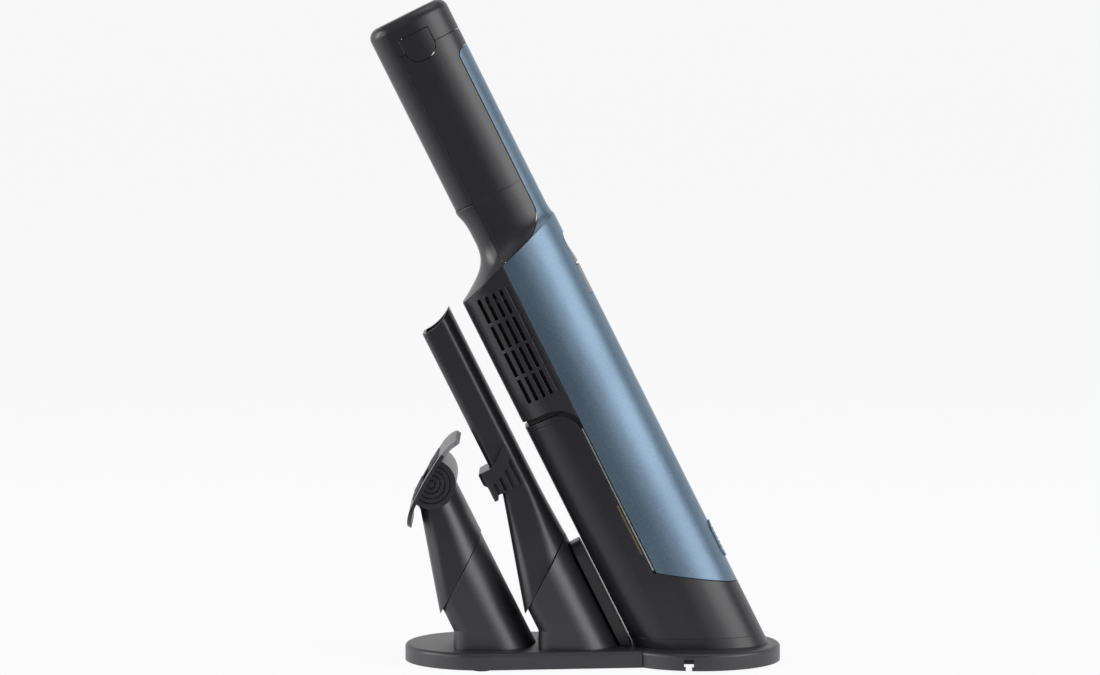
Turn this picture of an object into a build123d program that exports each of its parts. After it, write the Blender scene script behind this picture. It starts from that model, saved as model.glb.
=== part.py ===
"""Wand-shaped handheld vacuum in its charging dock, with two tools beside it. Millimetres, +Z up.

The origin is on the table under the charging disc's centre, +X points to the side that the wand's
lid faces and +Y to the back. Wand and tools are drawn upright in frames of their own (x towards
the lid, z towards the handle) and then leaned.
"""
import os
from math import asin, cos, degrees, pi, radians, sin, sqrt, tan

from build123d import *

# Stance
LEAN = 26.5
AXIS_X = 1.6
BASE_H = 10.5
FOOT_H = 0.8

# Shared walls and clearances
WALL = 2.0
SEAM = 0.4
FIT = 0.35
SEAT = 0.25
RUN = 0.05
SPAN = 120.0

# Wand body
BODY_DEPTH = 70.2
BODY_WIDTH = 58.0
BODY_CORNER = 20.0
WAND_LEN = 403.8

# Handle and neck
HANDLE_DEPTH = 48.7
HANDLE_WIDTH = 41.0
HANDLE_CORNER = 13.0
HANDLE_DROP = 1.5
HANDLE_CROWN = 24.6
END_ROUND = 6.0
NECK_WAIST = 2.2
NECK_LEN = 38.0
NECK_STATIONS = (0.0, 0.05, 0.1, 0.17, 0.27, 0.42, 0.62, 0.82, 1.0)
NECK_FLARE = 9
SHOULDER_Z = 251.6
SHOULDER_TILT = 18.0

# Lid (the coloured top shell)
LID_EDGE_X = -4.0
LID_STRIP = 6.3
LID_SWEEP = 18.0
LID_END_Z = 372.6
LID_END_ROUND = 5.0
FRONT_Z = 49.0
FRONT_TILT = 35.5

# Vent housing
VENT_Z = 163.0
SLOT_W = 2.2
SLOT_LEN = 15.2
SLOT_PITCH = 4.2
SLOT_COLUMNS = 5
SLOT_ROWS = 4
ROW_PITCH = 17.2
GRILLE_LOW = 9.0
GRILLE_EDGE = 3.2
GROOVE_DEEP = 0.8

# Dust cup and nozzle
CUP_TOP = 159.5
CUP_CORNER = 14.0
CUP_GAP = 2.2
CUP_WALL = 1.8
SLEEVE_GAP = 0.5
SLEEVE_FLAT = 5.9
FLOOR_Z = 44.0
FLOOR_T = 3.0
RIM_H = 6.0
MOUTH_STEP = 8.0
CUP_RING_Z = 3.0
CUP_RING_DEEP = 0.5
RAIL_W = 0.8
RAIL_PROUD = 2.0
RAIL_LOW = 54.0
RAIL_LEN = 92.0
WINDOW_W = 1.1
WINDOW_T = 1.4
WINDOW_LOW = 65.5
WINDOW_LEN = 31.5

# Spigot that docks and tools share
SPIGOT_X = 29.0
SPIGOT_Y = 40.0
SPIGOT_R = 8.0
SPIGOT_LEN = 26.0
SOCKET_WALL = 2.0

# Inlet duct with its flap
DUCT_X = 26.0
DUCT_Y = 34.0
DUCT_R = 7.0
DUCT_WALL = 1.6
DUCT_LEN = 40.0
FLAP_T = 1.4
FLAP_PIN_R = 1.0
FLAP_BARREL_R = 2.2
EAR_T = 2.4

# Filter
FILTER_R = 17.0
FILTER_LEN = 38.0
FILTER_CORE_R = 11.0
PLEATS = 18
PLEAT_DEEP = 2.6
FRAME_T = 3.0
SCREEN_GAP = 1.6
SCREEN_T = 0.8

# Motor and its frame
MOTOR_X = -5.0
BULK_Z = 166.0
BULK_T = 3.0
SLEEVE_R = 24.0
SLEEVE_T = 1.8
SLEEVE_LEN = 63.0
MOTOR_R = 19.5
MOTOR_LEN = 40.0
MOTOR_START = 18.0
MOUNT_T = 6.0
SUCTION_R = 9.0
SHAFT_R = 1.6
BEARING_R = 4.5
BEARING_T = 3.0
IMPELLER_R = 18.5
IMPELLER_H = 9.0
IMPELLER_HUB_R = 5.5
IMPELLER_BLADES = 9
BLADE_TURN = 25.0
BLADE_T = 1.2
FOAM_T = 1.8
BOARD_POST_R = 2.5
# Buttons on the lid, along the wand
POCKET_LOW = 211.8
POCKET_LEN = 38.9
POCKET_W = 17.0
POCKET_DEEP = 2.4
POCKET_FLOOR = 2.2
BOOST_LEN = 17.6
POWER_LEN = 11.0
BUTTON_GAP = 2.0
BUTTON_END = 0.7
BUTTON_FLANGE = 1.2
BUTTON_FLANGE_T = 2.0
BUTTON_TRAVEL = 1.2
POWER_DROP = 1.5
BOARD_T = 1.6
BOARD_W = 30.0
BOARD_LOW = 207.0
BOARD_LEN = 34.0
SWITCH_H = 1.9
SWITCH_W = 6.0
LATCH_LOW = 39.3
LATCH_LEN = 23.4
LATCH_W = 12.0
LATCH_PROUD = 0.9
LATCH_FLANGE = 1.0
LATCH_RIBS = 6

# Battery pack
CAP_LEN = 20.5
PACK_SEAM_X = -3.7
PACK_WALL = 1.8
PACK_RISE = 2.0
CELL_LEN = 65.0
CELL_GAP = 0.3
CELL_ROOM = 1.65
HOLDER_T = 4.0
CELL_START = 12.0
TAB_W = 17.8
TAB_LEN = 16.2
TAB_RISE = 8.7
TAB_T = 2.0
TAB_ROOM = 5.0
TAB_ROUND = 8.0
SOCKET_BLOCK_H = 9.0
BLADE_W = 6.0
BLADE_THICK = 0.8
BLADE_RISE = 8.0
BLADE_APART = 14.0
SLOT_ROOM = 1.0

# Dock
DISC_R = 47.6
BASE_WALL = 2.2
BASE_ROUND = 2.2
PLATE_T = 1.6
NOTCH_X = -6.8
NOTCH_W = 5.6
NOTCH_H = 7.4
SLIT_W = 3.6
SLIT_H = 2.8
JACK_BORE_R = 1.8
JACK_W = 8.0
JACK_L = 12.0
JACK_AT = 10.0
ACC_X = -126.0
ACC_STEP = 2.6
WAIST_X = -38.0
WAIST_R = 35.0
TONGUE_W = 24.0
TONGUE_T = 3.0
TONGUE_L = 6.0
SCREW_R = 1.4
SCREW_HEAD_R = 2.8
SCREW_HEAD_H = 1.2
BOSS_R = 3.4
PAD_R = 8.0
FOOT_R = 5.0
SCREW_AT = 30.0
FOOT_EDGE = 9.6
DISC_SCREW_TURN = 50.0
DISC_FOOT_TURN = 90.0
ACC_SCREW_TURN = 45.0
PIN_R = 1.5
PIN_PROUD = 0.2
PIN_Z = 18.0
BOARD_DOCK_L = 24.0
BOARD_DOCK_W = 18.0

# Tool posts and the fin beside the wand
UPHOLSTERY_AT = -105.2
CREVICE_AT = -61.3
POST_DEPTH = 37.7
POST_WIDTH = 64.0
POST_CORNER = 8.0
POST_CROWN = 20.0
POST_TOP = 48.6
POST_SLANT = 35.9
POST_FLOOR = 12.0
POST_FOOT_H = 10.7
REST_GAP = 1.3
REST_H = 68.5
REST_WIDTH = 26.0

# Crevice tool
TOOL_WALL = 1.8
TOOL_FLOOR = 3.0
TOOL_LAP = 2.8
TOOL_LAP_BACK = 0.7
CREVICE_LOW = -2.6
CREVICE_DEPTH = 20.2
CREVICE_WIDTH = 33.0
CREVICE_CORNER = 4.0
CREVICE_CROWN = 7.0
CREVICE_TIP = 211.0
TIP_R = 26.0
TIP_DROP = 7.0
TRACK_W = 6.0
TRACK_LEN = 68.0
CARRIAGE_LOW = 101.0
CARRIAGE_H = 16.0
CARRIAGE_T = 1.8
CARRIAGE_RISE = 10.5
CARRIAGE_WING = 14.6
CARRIAGE_SLOTS = 4
SLOT_PITCH = 4.55
SLOT_GAP = 2.2
SLOT_ROOF = 8.5
HOOK_REACH = 5.6
HOOK_LIP = 7.0
HOOK_STEP = 2.0
HOOK_LEG = 2.2
HOOK_DROP = 2.4
HOOK_ROUND = 1.35

# Upholstery tool
UPH_TOP = 92.0
UPH_TOP_LOW = -5.0
UPH_TOP_WIDTH = 54.0
UPH_CROWN = 14.0
HEAD_X = 8.0
HEAD_Z = 104.0
HEAD_R = 14.5
HEAD_LEN = 66.0
HEAD_TILT = 34.0
HEAD_WALL = 2.0
RING_COUNT = 4
RING_W = 1.0
RING_DEEP = 1.4
LIP_LEN = 56.4
LIP_WIDTH = 74.0
LIP_T = 2.2
LIP_BOW_R = 200.0
LIP_CURL_R = 22.0
LIP_FLAT = 34.0
LIP_CORNER = 9.0
BLADE_LEN = 10.0
MOUTH_W = 9.0
MOUTH_LEN = 46.0
PAD_T = 0.8
PAD_W = 10.0
PAD_GAP = 5.0


# Shared helpers

class Oval:
    """Outline with a rounded low side, straight flanks and an elliptical crown on the high side."""

    def __init__(self, low, high, half, corner, crown):
        self.low = low
        self.high = high
        self.half = half
        self.corner = corner
        self.crown = crown

    def inset(self, amount):
        return Oval(self.low + amount, self.high - amount, self.half - amount,
                    max(self.corner - amount, SEAM), self.crown)

    def blend(self, other, share):
        pairs = zip(self.values(), other.values())
        return Oval(*[a + (b - a) * share for a, b in pairs])

    def values(self):
        return (self.low, self.high, self.half, self.corner, self.crown)

    def face(self, z=0.0, tilt=0.0):
        """The outline as seen along z, cut on a plane through (0, 0, z) that tilts about y."""
        grow = 1 / cos(radians(tilt))
        low, high, crown, round_x = (v * grow for v in (self.low, self.high, self.crown, self.corner))
        flat = self.half - self.corner
        edges = [
            EllipticalCenterArc((low + round_x, -flat), round_x, self.corner, 180, arc_size=90),
            Line((low + round_x, -self.half), (crown, -self.half)),
            EllipticalCenterArc((crown, 0), high - crown, self.half, 270, arc_size=90),
            EllipticalCenterArc((crown, 0), high - crown, self.half, 0, arc_size=90),
            Line((crown, self.half), (low + round_x, self.half)),
            EllipticalCenterArc((low + round_x, flat), round_x, self.corner, 90, arc_size=90),
            Line((low, flat), (low, -flat)),
        ]
        turn = radians(tilt)
        plane = Plane((0, 0, z), x_dir=(cos(turn), 0, sin(turn)), z_dir=(-sin(turn), 0, cos(turn)))
        return plane * make_face(Curve() + edges)

    def prism(self, low, high):
        return extrude(self.face(low), amount=high - low, dir=(0, 0, 1))


def slope(angle):
    return tan(radians(angle))


def zone(points, radii=None):
    """Side-view region (x, z) carried right through the object along y."""
    outline = FilletPolyline(*points, radius=radii or [0] * len(points), close=True)
    return extrude(make_face(Plane.XZ * outline), amount=SPAN, both=True)


def block(x0, x1, y0, y1, z0, z1):
    return Pos((x0 + x1) / 2, (y0 + y1) / 2, (z0 + z1) / 2) * Box(x1 - x0, y1 - y0, z1 - z0)


def rod(x, y, z0, z1, radius):
    return Pos(x, y, (z0 + z1) / 2) * Cylinder(radius, z1 - z0)


def cross_rod(x, z, y0, y1, radius):
    """Round bar along y."""
    return Pos(x, (y0 + y1) / 2, z) * Rot(90, 0, 0) * Cylinder(radius, y1 - y0)


def rounded(x_size, y_size, radius, z0, z1):
    return Pos(0, 0, z0) * extrude(RectangleRounded(x_size, y_size, radius), amount=z1 - z0)


def leaned(shape, offset=0.0):
    """Wand or tool frame to the row's frame; offset is its axis' distance from the wand's axis."""
    return Location((AXIS_X + offset / cos(radians(LEAN)), 0, BASE_H), (0, -LEAN, 0)) * shape


def write(name, *shapes):
    solids = [solid for shape in shapes for solid in shape.solids()]
    export_step(solids[0] if len(solids) == 1 else Compound(children=solids), f"parts/{name}.step")


# Wand outlines

HALF_D = BODY_DEPTH / 2
HALF_W = BODY_WIDTH / 2
BODY = Oval(-HALF_D, HALF_D, HALF_W, BODY_CORNER, 0.0)
HANDLE_TOP = HALF_D - HANDLE_DROP
HANDLE_LOW = HANDLE_TOP - HANDLE_DEPTH
HANDLE_MID = HANDLE_TOP - HANDLE_DEPTH / 2
HANDLE = Oval(HANDLE_LOW, HANDLE_TOP, HANDLE_WIDTH / 2, HANDLE_CORNER, HANDLE_TOP - HANDLE_CROWN)
KINK_Z = SHOULDER_Z + NECK_LEN
CAP_Z = WAND_LEN - CAP_LEN
STRIP_X = HANDLE_TOP - LID_STRIP
CUP_EDGE_X = LID_EDGE_X - CUP_GAP
SLEEVE = WALL + SLEEVE_GAP
BIN = SLEEVE + CUP_WALL
FLAT_X = HALF_D - SLEEVE_FLAT
FAR = SPAN
TILT_COS = cos(radians(LEAN))


def shoulder(x):
    return SHOULDER_Z + x * slope(SHOULDER_TILT)


def front(x):
    return FRONT_Z - x * slope(FRONT_TILT)


def mouth(x, lift=0.0):
    """Level plane in the docked pose, lifted straight up from the dock's top."""
    return lift / TILT_COS - x * slope(LEAN)


def body_form(inset, low=-FAR):
    limit = zone([(-FAR, low), (FAR, low), (FAR, shoulder(FAR)), (-FAR, shoulder(-FAR))])
    return BODY.inset(inset).prism(low, KINK_Z) & limit


def neck_form(inset):
    sections = []
    for share in NECK_STATIONS:
        oval = BODY.blend(HANDLE, 1 - (1 - share) ** NECK_FLARE).inset(inset)
        oval.low += NECK_WAIST * sin(pi * share)
        sections.append(oval.face(SHOULDER_Z + share * NECK_LEN, SHOULDER_TILT * (1 - share)))
    return loft(sections)


def handle_form(inset, top=WAND_LEN):
    return HANDLE.inset(inset).prism(KINK_Z, top)


def rounded_handle():
    plain = handle_form(0.0)
    return fillet(plain.faces().sort_by(Axis.Z)[-1].edges(), END_ROUND)


def lid_outline(grow=0.0):
    """Side view of the lid: long edge, shoulder, swept neck, strip along the handle, front edge."""
    edge_x = LID_EDGE_X - grow
    strip_x = STRIP_X - grow
    up = grow / cos(radians(SHOULDER_TILT))
    down = grow / cos(radians(FRONT_TILT))
    points = [
        (edge_x, front(edge_x) - down),
        (edge_x, shoulder(edge_x) + up),
        (strip_x, shoulder(strip_x) + up),
        (strip_x, LID_END_Z + grow),
        (FAR, LID_END_Z + grow),
        (FAR, front(FAR) - down),
    ]
    return zone(points, [0, 0, LID_SWEEP - grow, LID_END_ROUND + grow, 0, 0])


def cup_outline(grow=0.0):
    """Side view of what the cup shows: everything below the lid's front edge, and its long side."""
    edge_x = CUP_EDGE_X + grow
    down = (SEAM - grow) / cos(radians(FRONT_TILT))
    points = [
        (-FAR, -FAR),
        (FAR, -FAR),
        (FAR, front(FAR) - down),
        (edge_x, front(edge_x) - down),
        (edge_x, CUP_TOP + grow),
        (-FAR, CUP_TOP + grow),
    ]
    return zone(points, [0, 0, 0, 0, CUP_CORNER + grow, 0])


def above_mouth(lift):
    return zone([(-FAR, mouth(-FAR, lift)), (FAR, mouth(FAR, lift)), (FAR, FAR * 4), (-FAR, FAR * 4)])


def bin_form(low, high):
    """Room inside the cup's sleeve, flat under the lid's crown."""
    return BODY.inset(BIN).prism(low, high) & block(-FAR, FLAT_X - CUP_WALL, -FAR, FAR, low, high)


def sleeve_form(low, high):
    return BODY.inset(SLEEVE).prism(low, high) & block(-FAR, FLAT_X, -FAR, FAR, low, high)


# Main body of the wand

skin_body = body_form(0.0) - body_form(WALL)
skin_neck = neck_form(0.0) - neck_form(WALL)
skin_handle = rounded_handle() - handle_form(WALL)
skin = skin_body + skin_neck + skin_handle


def tab_outline(grow=0.0):
    """U of the battery's release tab, seen from the side."""
    x0 = HANDLE_MID - TAB_W / 2 - grow
    x1 = HANDLE_MID + TAB_W / 2 + grow
    z1 = CAP_Z + TAB_RISE + grow
    z0 = CAP_Z + TAB_RISE - TAB_LEN - grow
    return zone([(x0, z1), (x0, z0), (x1, z0), (x1, z1)], [0, TAB_ROUND, TAB_ROUND, 0])


def pocket_form(grow, x0, x1):
    """Rounded slot on the lid's crown that holds both buttons."""
    mid = POCKET_LOW + POCKET_LEN / 2
    face = Plane.YZ * Pos(0, mid) * RectangleRounded(POCKET_W + 2 * grow, POCKET_LEN + 2 * grow,
                                                    POCKET_W / 3)
    return Pos(x0, 0, 0) * extrude(face, amount=x1 - x0)


FLOOR_X = HALF_D - POCKET_DEEP
UNDER_X = FLOOR_X - POCKET_FLOOR
BUTTON_W = POCKET_W - 2 * BUTTON_END
BOOST_LOW = POCKET_LOW + BUTTON_END
POWER_LOW = BOOST_LOW + BOOST_LEN + BUTTON_GAP


def button_slot(low, length, grow, x0, x1, wide=0.0):
    """Straight hole or shank for one button; wide widens it across the wand only."""
    half = BUTTON_W / 2 + grow + wide
    return block(x0, x1, -half, half, low - grow, low + length + grow)


def latch_form(grow, x0, x1):
    """Lozenge of the cup latch, seen from above the lid."""
    mid = LATCH_LOW + LATCH_LEN / 2
    face = Plane.YZ * Pos(0, mid) * SlotOverall(LATCH_LEN + 2 * grow, LATCH_W + 2 * grow, rotation=90)
    return Pos(x0, 0, 0) * extrude(face, amount=x1 - x0)


def top_shell():
    shell = skin & lid_outline()
    tray = pocket_form(WALL, UNDER_X, HALF_D) & body_form(WALL / 2)
    shell = shell + tray - pocket_form(0.0, FLOOR_X, FAR)
    shell -= button_slot(BOOST_LOW, BOOST_LEN, FIT, 0, FAR)
    shell -= button_slot(POWER_LOW, POWER_LEN, FIT, 0, FAR)
    return shell - latch_form(FIT, 0, FAR)


def slot_places():
    """Columns run from the lid's edge towards the underside, rows from the cup upwards."""
    for column in range(SLOT_COLUMNS):
        x = LID_EDGE_X - GRILLE_EDGE - column * SLOT_PITCH
        for row in range(SLOT_ROWS):
            yield column, x, VENT_Z + GRILLE_LOW + row * ROW_PITCH


def vent_housing():
    limit = zone([
        (-FAR, 0), (LID_EDGE_X - SEAM, 0),
        (LID_EDGE_X - SEAM, shoulder(LID_EDGE_X) - SEAM), (-FAR, shoulder(-FAR) - SEAM),
    ])
    shell = (skin_body & limit) - cup_outline(VENT_Z - CUP_TOP)
    shell -= block(-FAR, FAR, -FAR, FAR, -FAR, CUP_TOP - CUP_CORNER)
    for column, x, z in slot_places():
        near = HALF_W - GROOVE_DEEP if column == 0 else 0.0
        for y0, y1 in ((-HALF_W - WALL, -near), (near, HALF_W + WALL)):
            shell -= block(x - SLOT_W / 2, x + SLOT_W / 2, y0, y1, z, z + SLOT_LEN)
    return shell


def handle_shell():
    limit = zone([
        (PACK_SEAM_X + SEAM, shoulder(PACK_SEAM_X + SEAM)), (FAR, shoulder(FAR)),
        (FAR, CAP_Z - SEAM), (PACK_SEAM_X + SEAM, CAP_Z - SEAM),
    ])
    return ((skin_neck + skin_handle) & limit) - lid_outline(SEAM) - tab_outline(FIT)


def neck_cover():
    limit = zone([
        (-FAR, shoulder(-FAR)), (PACK_SEAM_X, shoulder(PACK_SEAM_X)),
        (PACK_SEAM_X, KINK_Z - SEAM), (-FAR, KINK_Z - SEAM),
    ])
    return skin_neck & limit


BULK_TOP = BULK_Z + BULK_T
REAR_Z = BULK_TOP + SLEEVE_LEN
BOARD_X = UNDER_X - BUTTON_FLANGE_T - BUTTON_TRAVEL - SWITCH_H - SEAT - BOARD_T
BOARD_POSTS = (BOARD_LOW + BOARD_T + SWITCH_W, REAR_Z - SWITCH_W)
MOTOR_LOW = BULK_TOP + MOTOR_START
MOTOR_HIGH = MOTOR_LOW + MOTOR_LEN
SCREW_END = BULK_TOP + 2 * BULK_T
BULK_SCREWS = ((HALF_D - BIN - BOSS_R, 0), (-HALF_D / 2, HALF_W - BIN - BOSS_R),
               (-HALF_D / 2, -HALF_W + BIN + BOSS_R))


def core_frame():
    plate = BODY.inset(WALL + SEAT)
    rear = plate.prism(REAR_Z, REAR_Z + BULK_T) - block(BOARD_X - WALL, FAR, -FAR, FAR, 0, WAND_LEN)
    frame = plate.prism(BULK_Z, BULK_TOP) + rear
    frame += rod(MOTOR_X, 0, BULK_TOP, REAR_Z, SLEEVE_R)
    frame -= rod(MOTOR_X, 0, BULK_TOP, REAR_Z, SLEEVE_R - SLEEVE_T)
    frame -= rod(MOTOR_X, 0, BULK_Z - 1, BULK_TOP + 1, FILTER_CORE_R)
    frame -= rod(MOTOR_X, 0, REAR_Z - 1, REAR_Z + BULK_T + 1, SUCTION_R)
    window_low = MOTOR_LOW + MOUNT_T + SEAM
    window_high = MOTOR_HIGH - MOUNT_T - SEAM
    frame -= block(MOTOR_X - MOTOR_R / 2, MOTOR_X + MOTOR_R / 2, -FAR, FAR, window_low, window_high)
    for z in BOARD_POSTS:
        post = Pos(BOARD_X / 2, 0, z) * Rot(0, 90, 0) * Cylinder(BOARD_POST_R, BOARD_X)
        frame += post - rod(MOTOR_X, 0, z - BOARD_POST_R, z + BOARD_POST_R, SLEEVE_R - SLEEVE_T)
    for x, y in BULK_SCREWS:
        frame -= rod(x, y, BULK_Z - 1, SCREW_END + 1, SCREW_R + RUN)
    return frame


def shell_screws():
    """Screws through the front bulkhead, heads towards the cup."""
    heads = []
    for x, y in BULK_SCREWS:
        head = rod(x, y, BULK_Z - SCREW_HEAD_H, BULK_Z, SCREW_HEAD_R)
        heads.append(head + rod(x, y, BULK_Z, SCREW_END, SCREW_R))
    return heads


def cup_seal():
    low = CUP_TOP + FIT
    ring = BODY.inset(WALL + SEAT).prism(low, BULK_Z) - BODY.inset(BIN).prism(low, BULK_Z)
    return ring


def filter_frame():
    top = BULK_Z
    low = top - FRAME_T - FILTER_LEN - FRAME_T
    frame = rod(MOTOR_X, 0, top - FRAME_T, top, FILTER_R + SCREEN_GAP + SCREEN_T)
    frame += rod(MOTOR_X, 0, low, low + FRAME_T, FILTER_R + SCREEN_GAP + SCREEN_T)
    frame += rod(MOTOR_X, 0, low, top, FILTER_CORE_R)
    frame -= rod(MOTOR_X, 0, low + FRAME_T, top, FILTER_CORE_R - WALL)
    room = FILTER_LEN - 2 * FRAME_T
    for turn in (0, 90):
        slot = Box(4 * FILTER_CORE_R, FILTER_CORE_R, room)
        frame -= Pos(MOTOR_X, 0, low + 2 * FRAME_T + room / 2) * Rot(0, 0, turn) * slot
    return frame


def pleated_filter():
    """Star-shaped paper sleeve between the frame's two plates."""
    low = BULK_Z - FRAME_T - FILTER_LEN
    steps = 2 * PLEATS
    points = []
    for step in range(steps):
        radius = FILTER_R if step % 2 else FILTER_R - PLEAT_DEEP
        place = Vector(radius, 0).rotate(Axis.Z, 360 * step / steps)
        points.append((place.X, place.Y))
    star = make_face(Polyline(*points, close=True))
    sleeve = Pos(0, 0, low) * extrude(star, amount=FILTER_LEN)
    return Pos(MOTOR_X, 0, 0) * (sleeve - rod(0, 0, low, low + FILTER_LEN, FILTER_CORE_R + RUN))


def filter_screen():
    low = BULK_Z - FRAME_T - FILTER_LEN
    outer = FILTER_R + SCREEN_GAP + SCREEN_T
    high = low + FILTER_LEN
    return rod(MOTOR_X, 0, low, high, outer) - rod(MOTOR_X, 0, low, high, outer - SCREEN_T)


def motor_can():
    can = rod(MOTOR_X, 0, MOTOR_LOW, MOTOR_HIGH, MOTOR_R)
    can -= rod(MOTOR_X, 0, MOTOR_LOW, MOTOR_HIGH, SHAFT_R + FIT)
    for low in (MOTOR_LOW, MOTOR_HIGH - BEARING_T):
        can -= rod(MOTOR_X, 0, low, low + BEARING_T, BEARING_R)
    return can


def motor_bearings():
    rings = []
    for low in (MOTOR_LOW, MOTOR_HIGH - BEARING_T):
        ring = rod(MOTOR_X, 0, low, low + BEARING_T, BEARING_R)
        rings.append(ring - rod(MOTOR_X, 0, low, low + BEARING_T, SHAFT_R + RUN))
    return rings


def motor_mounts():
    rings = []
    for low in (MOTOR_LOW, MOTOR_HIGH - MOUNT_T):
        ring = rod(MOTOR_X, 0, low, low + MOUNT_T, SLEEVE_R - SLEEVE_T)
        rings.append(ring - rod(MOTOR_X, 0, low, low + MOUNT_T, MOTOR_R))
    return rings


IMPELLER_LOW = MOTOR_LOW - FRAME_T - IMPELLER_H


def motor_shaft():
    return rod(MOTOR_X, 0, IMPELLER_LOW, MOTOR_HIGH + FRAME_T, SHAFT_R)


def impeller():
    wheel = rod(0, 0, IMPELLER_LOW + IMPELLER_H - BLADE_T, IMPELLER_LOW + IMPELLER_H, IMPELLER_R)
    wheel += rod(0, 0, IMPELLER_LOW, IMPELLER_LOW + IMPELLER_H, IMPELLER_HUB_R)
    middle = (IMPELLER_HUB_R + IMPELLER_R) / 2
    reach = IMPELLER_R - IMPELLER_HUB_R
    for blade in range(IMPELLER_BLADES):
        vane = Rot(0, 0, BLADE_TURN) * Box(reach, BLADE_T, IMPELLER_H)
        place = Rot(0, 0, 360 * blade / IMPELLER_BLADES) * Pos(middle, 0, IMPELLER_LOW + IMPELLER_H / 2)
        wheel += place * vane
    wheel &= rod(0, 0, IMPELLER_LOW, IMPELLER_LOW + IMPELLER_H, IMPELLER_R)
    return Pos(MOTOR_X, 0, 0) * (wheel - rod(0, 0, IMPELLER_LOW, IMPELLER_LOW + IMPELLER_H, SHAFT_R))


def exhaust_foam():
    """Foam sheet behind each side grille, bent to the housing's wall."""
    outer = BODY.inset(WALL + SEAT)
    low, high = BULK_TOP + SEAT, REAR_Z - SEAT
    sheet = outer.prism(low, high) - outer.inset(FOAM_T).prism(low, high)
    far_x = LID_EDGE_X - GRILLE_EDGE - SLOT_COLUMNS * SLOT_PITCH
    sheet &= block(far_x, LID_EDGE_X - WALL, -FAR, FAR, low, high)
    return sheet - block(-FAR, FAR, -BODY_CORNER / 2, BODY_CORNER / 2, low, high)


def control_board():
    return block(BOARD_X, BOARD_X + BOARD_T, -BOARD_W / 2, BOARD_W / 2, BOARD_LOW, BOARD_LOW + BOARD_LEN)


def push_switches():
    switches = []
    for low, length in ((BOOST_LOW, BOOST_LEN), (POWER_LOW, POWER_LEN)):
        mid = low + length / 2
        top = BOARD_X + BOARD_T + SWITCH_H
        half = SWITCH_W / 2
        switches.append(block(BOARD_X + BOARD_T, top, -half, half, mid - half, mid + half))
    return switches


def button(low, length, drop):
    """Cap that fills its hole, its top sloping down by drop towards the handle."""
    rise = UNDER_X - BUTTON_FLANGE_T
    cap = button_slot(low, length, 0.0, rise, HALF_D + WALL) & BODY.prism(low, low + length)
    cap &= zone([(0, low - 1), (HALF_D, low), (HALF_D - drop, low + length), (0, low + length + 1)])
    flange = button_slot(low, length, 0.0, rise, UNDER_X - SEAT, BUTTON_FLANGE)
    return cap + flange


def cup_latch():
    """Raised press latch with fine cross ribs."""
    under = HALF_D - WALL - SEAT
    cap = latch_form(0.0, under - LATCH_FLANGE, HALF_D + WALL)
    cap &= BODY.inset(-LATCH_PROUD).prism(LATCH_LOW, LATCH_LOW + LATCH_LEN)
    flange = latch_form(LATCH_FLANGE, under - 2 * LATCH_FLANGE, under - LATCH_FLANGE)
    pitch = LATCH_LEN / (LATCH_RIBS + 2)
    for rib in range(LATCH_RIBS):
        z = LATCH_LOW + pitch * (rib + 1.5)
        cap -= Pos(HALF_D + LATCH_PROUD, 0, z) * Box(LATCH_PROUD, LATCH_W, pitch / 2)
    return cap + flange


# Dust cup and nozzle

FLOOR_TOP = FLOOR_Z + FLOOR_T
SOCKET_X = SPIGOT_X + 2 * FIT
SOCKET_Y = SPIGOT_Y + 2 * FIT
SOCKET_R = SPIGOT_R + FIT
WINDOW_X = CUP_EDGE_X - WINDOW_W
DUCT_TOP = FLOOR_Z + DUCT_LEN
FLAP_X = DUCT_X / 2 + FLAP_BARREL_R
FLAP_Z = DUCT_TOP + FLAP_BARREL_R + FIT


def both_sides(shape):
    return [shape, mirror(shape, about=Plane.XZ)]


def window_block():
    return block(WINDOW_X, CUP_EDGE_X, HALF_W - WINDOW_T, HALF_W, WINDOW_LOW, WINDOW_LOW + WINDOW_LEN)


def pad_block():
    half = SOCKET_Y / 2
    return block(-PIN_R * 2, PIN_R * 2, half, half + SOCKET_WALL / 2, PIN_Z - PIN_R * 3, PIN_Z + PIN_R * 3)


def dust_cup():
    cup = BODY.prism(-FAR, CUP_TOP) & cup_outline()
    cup += sleeve_form(0, CUP_TOP)
    cup -= bin_form(-FAR, FLOOR_Z)
    cup -= bin_form(FLOOR_TOP, CUP_TOP + 1)
    grow = 2 * SOCKET_WALL
    socket = rounded(SOCKET_X + grow, SOCKET_Y + grow, SOCKET_R + SOCKET_WALL, -FAR, FLOOR_Z)
    cup += socket & above_mouth(MOUTH_STEP)
    cup -= rounded(SOCKET_X, SOCKET_Y, SOCKET_R, -FAR, FLOOR_Z)
    cup -= rounded(DUCT_X, DUCT_Y, DUCT_R, FLOOR_Z, FLOOR_TOP)
    cup &= above_mouth(RIM_H)
    ring_z = CUP_TOP - CUP_RING_Z
    low = ring_z - SEAM
    groove = BODY.inset(-WALL).prism(low, ring_z) - BODY.inset(CUP_RING_DEEP).prism(low, ring_z)
    cup -= groove & block(-FAR, CUP_EDGE_X - CUP_CORNER / 2, -FAR, FAR, 0, CUP_TOP)
    for cutter in both_sides(window_block()) + both_sides(pad_block()):
        cup -= cutter
    return cup


def nozzle_rim():
    ring = BODY.prism(-FAR, FLOOR_Z) - bin_form(-FAR, FLOOR_Z)
    return (ring & above_mouth(0.0)) - above_mouth(RIM_H)


def slide_rail():
    x = (LID_EDGE_X + CUP_EDGE_X) / 2
    base = HALF_W - SLEEVE
    return block(x - RAIL_W / 2, x + RAIL_W / 2, base, base + RAIL_PROUD, RAIL_LOW, RAIL_LOW + RAIL_LEN)


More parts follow.
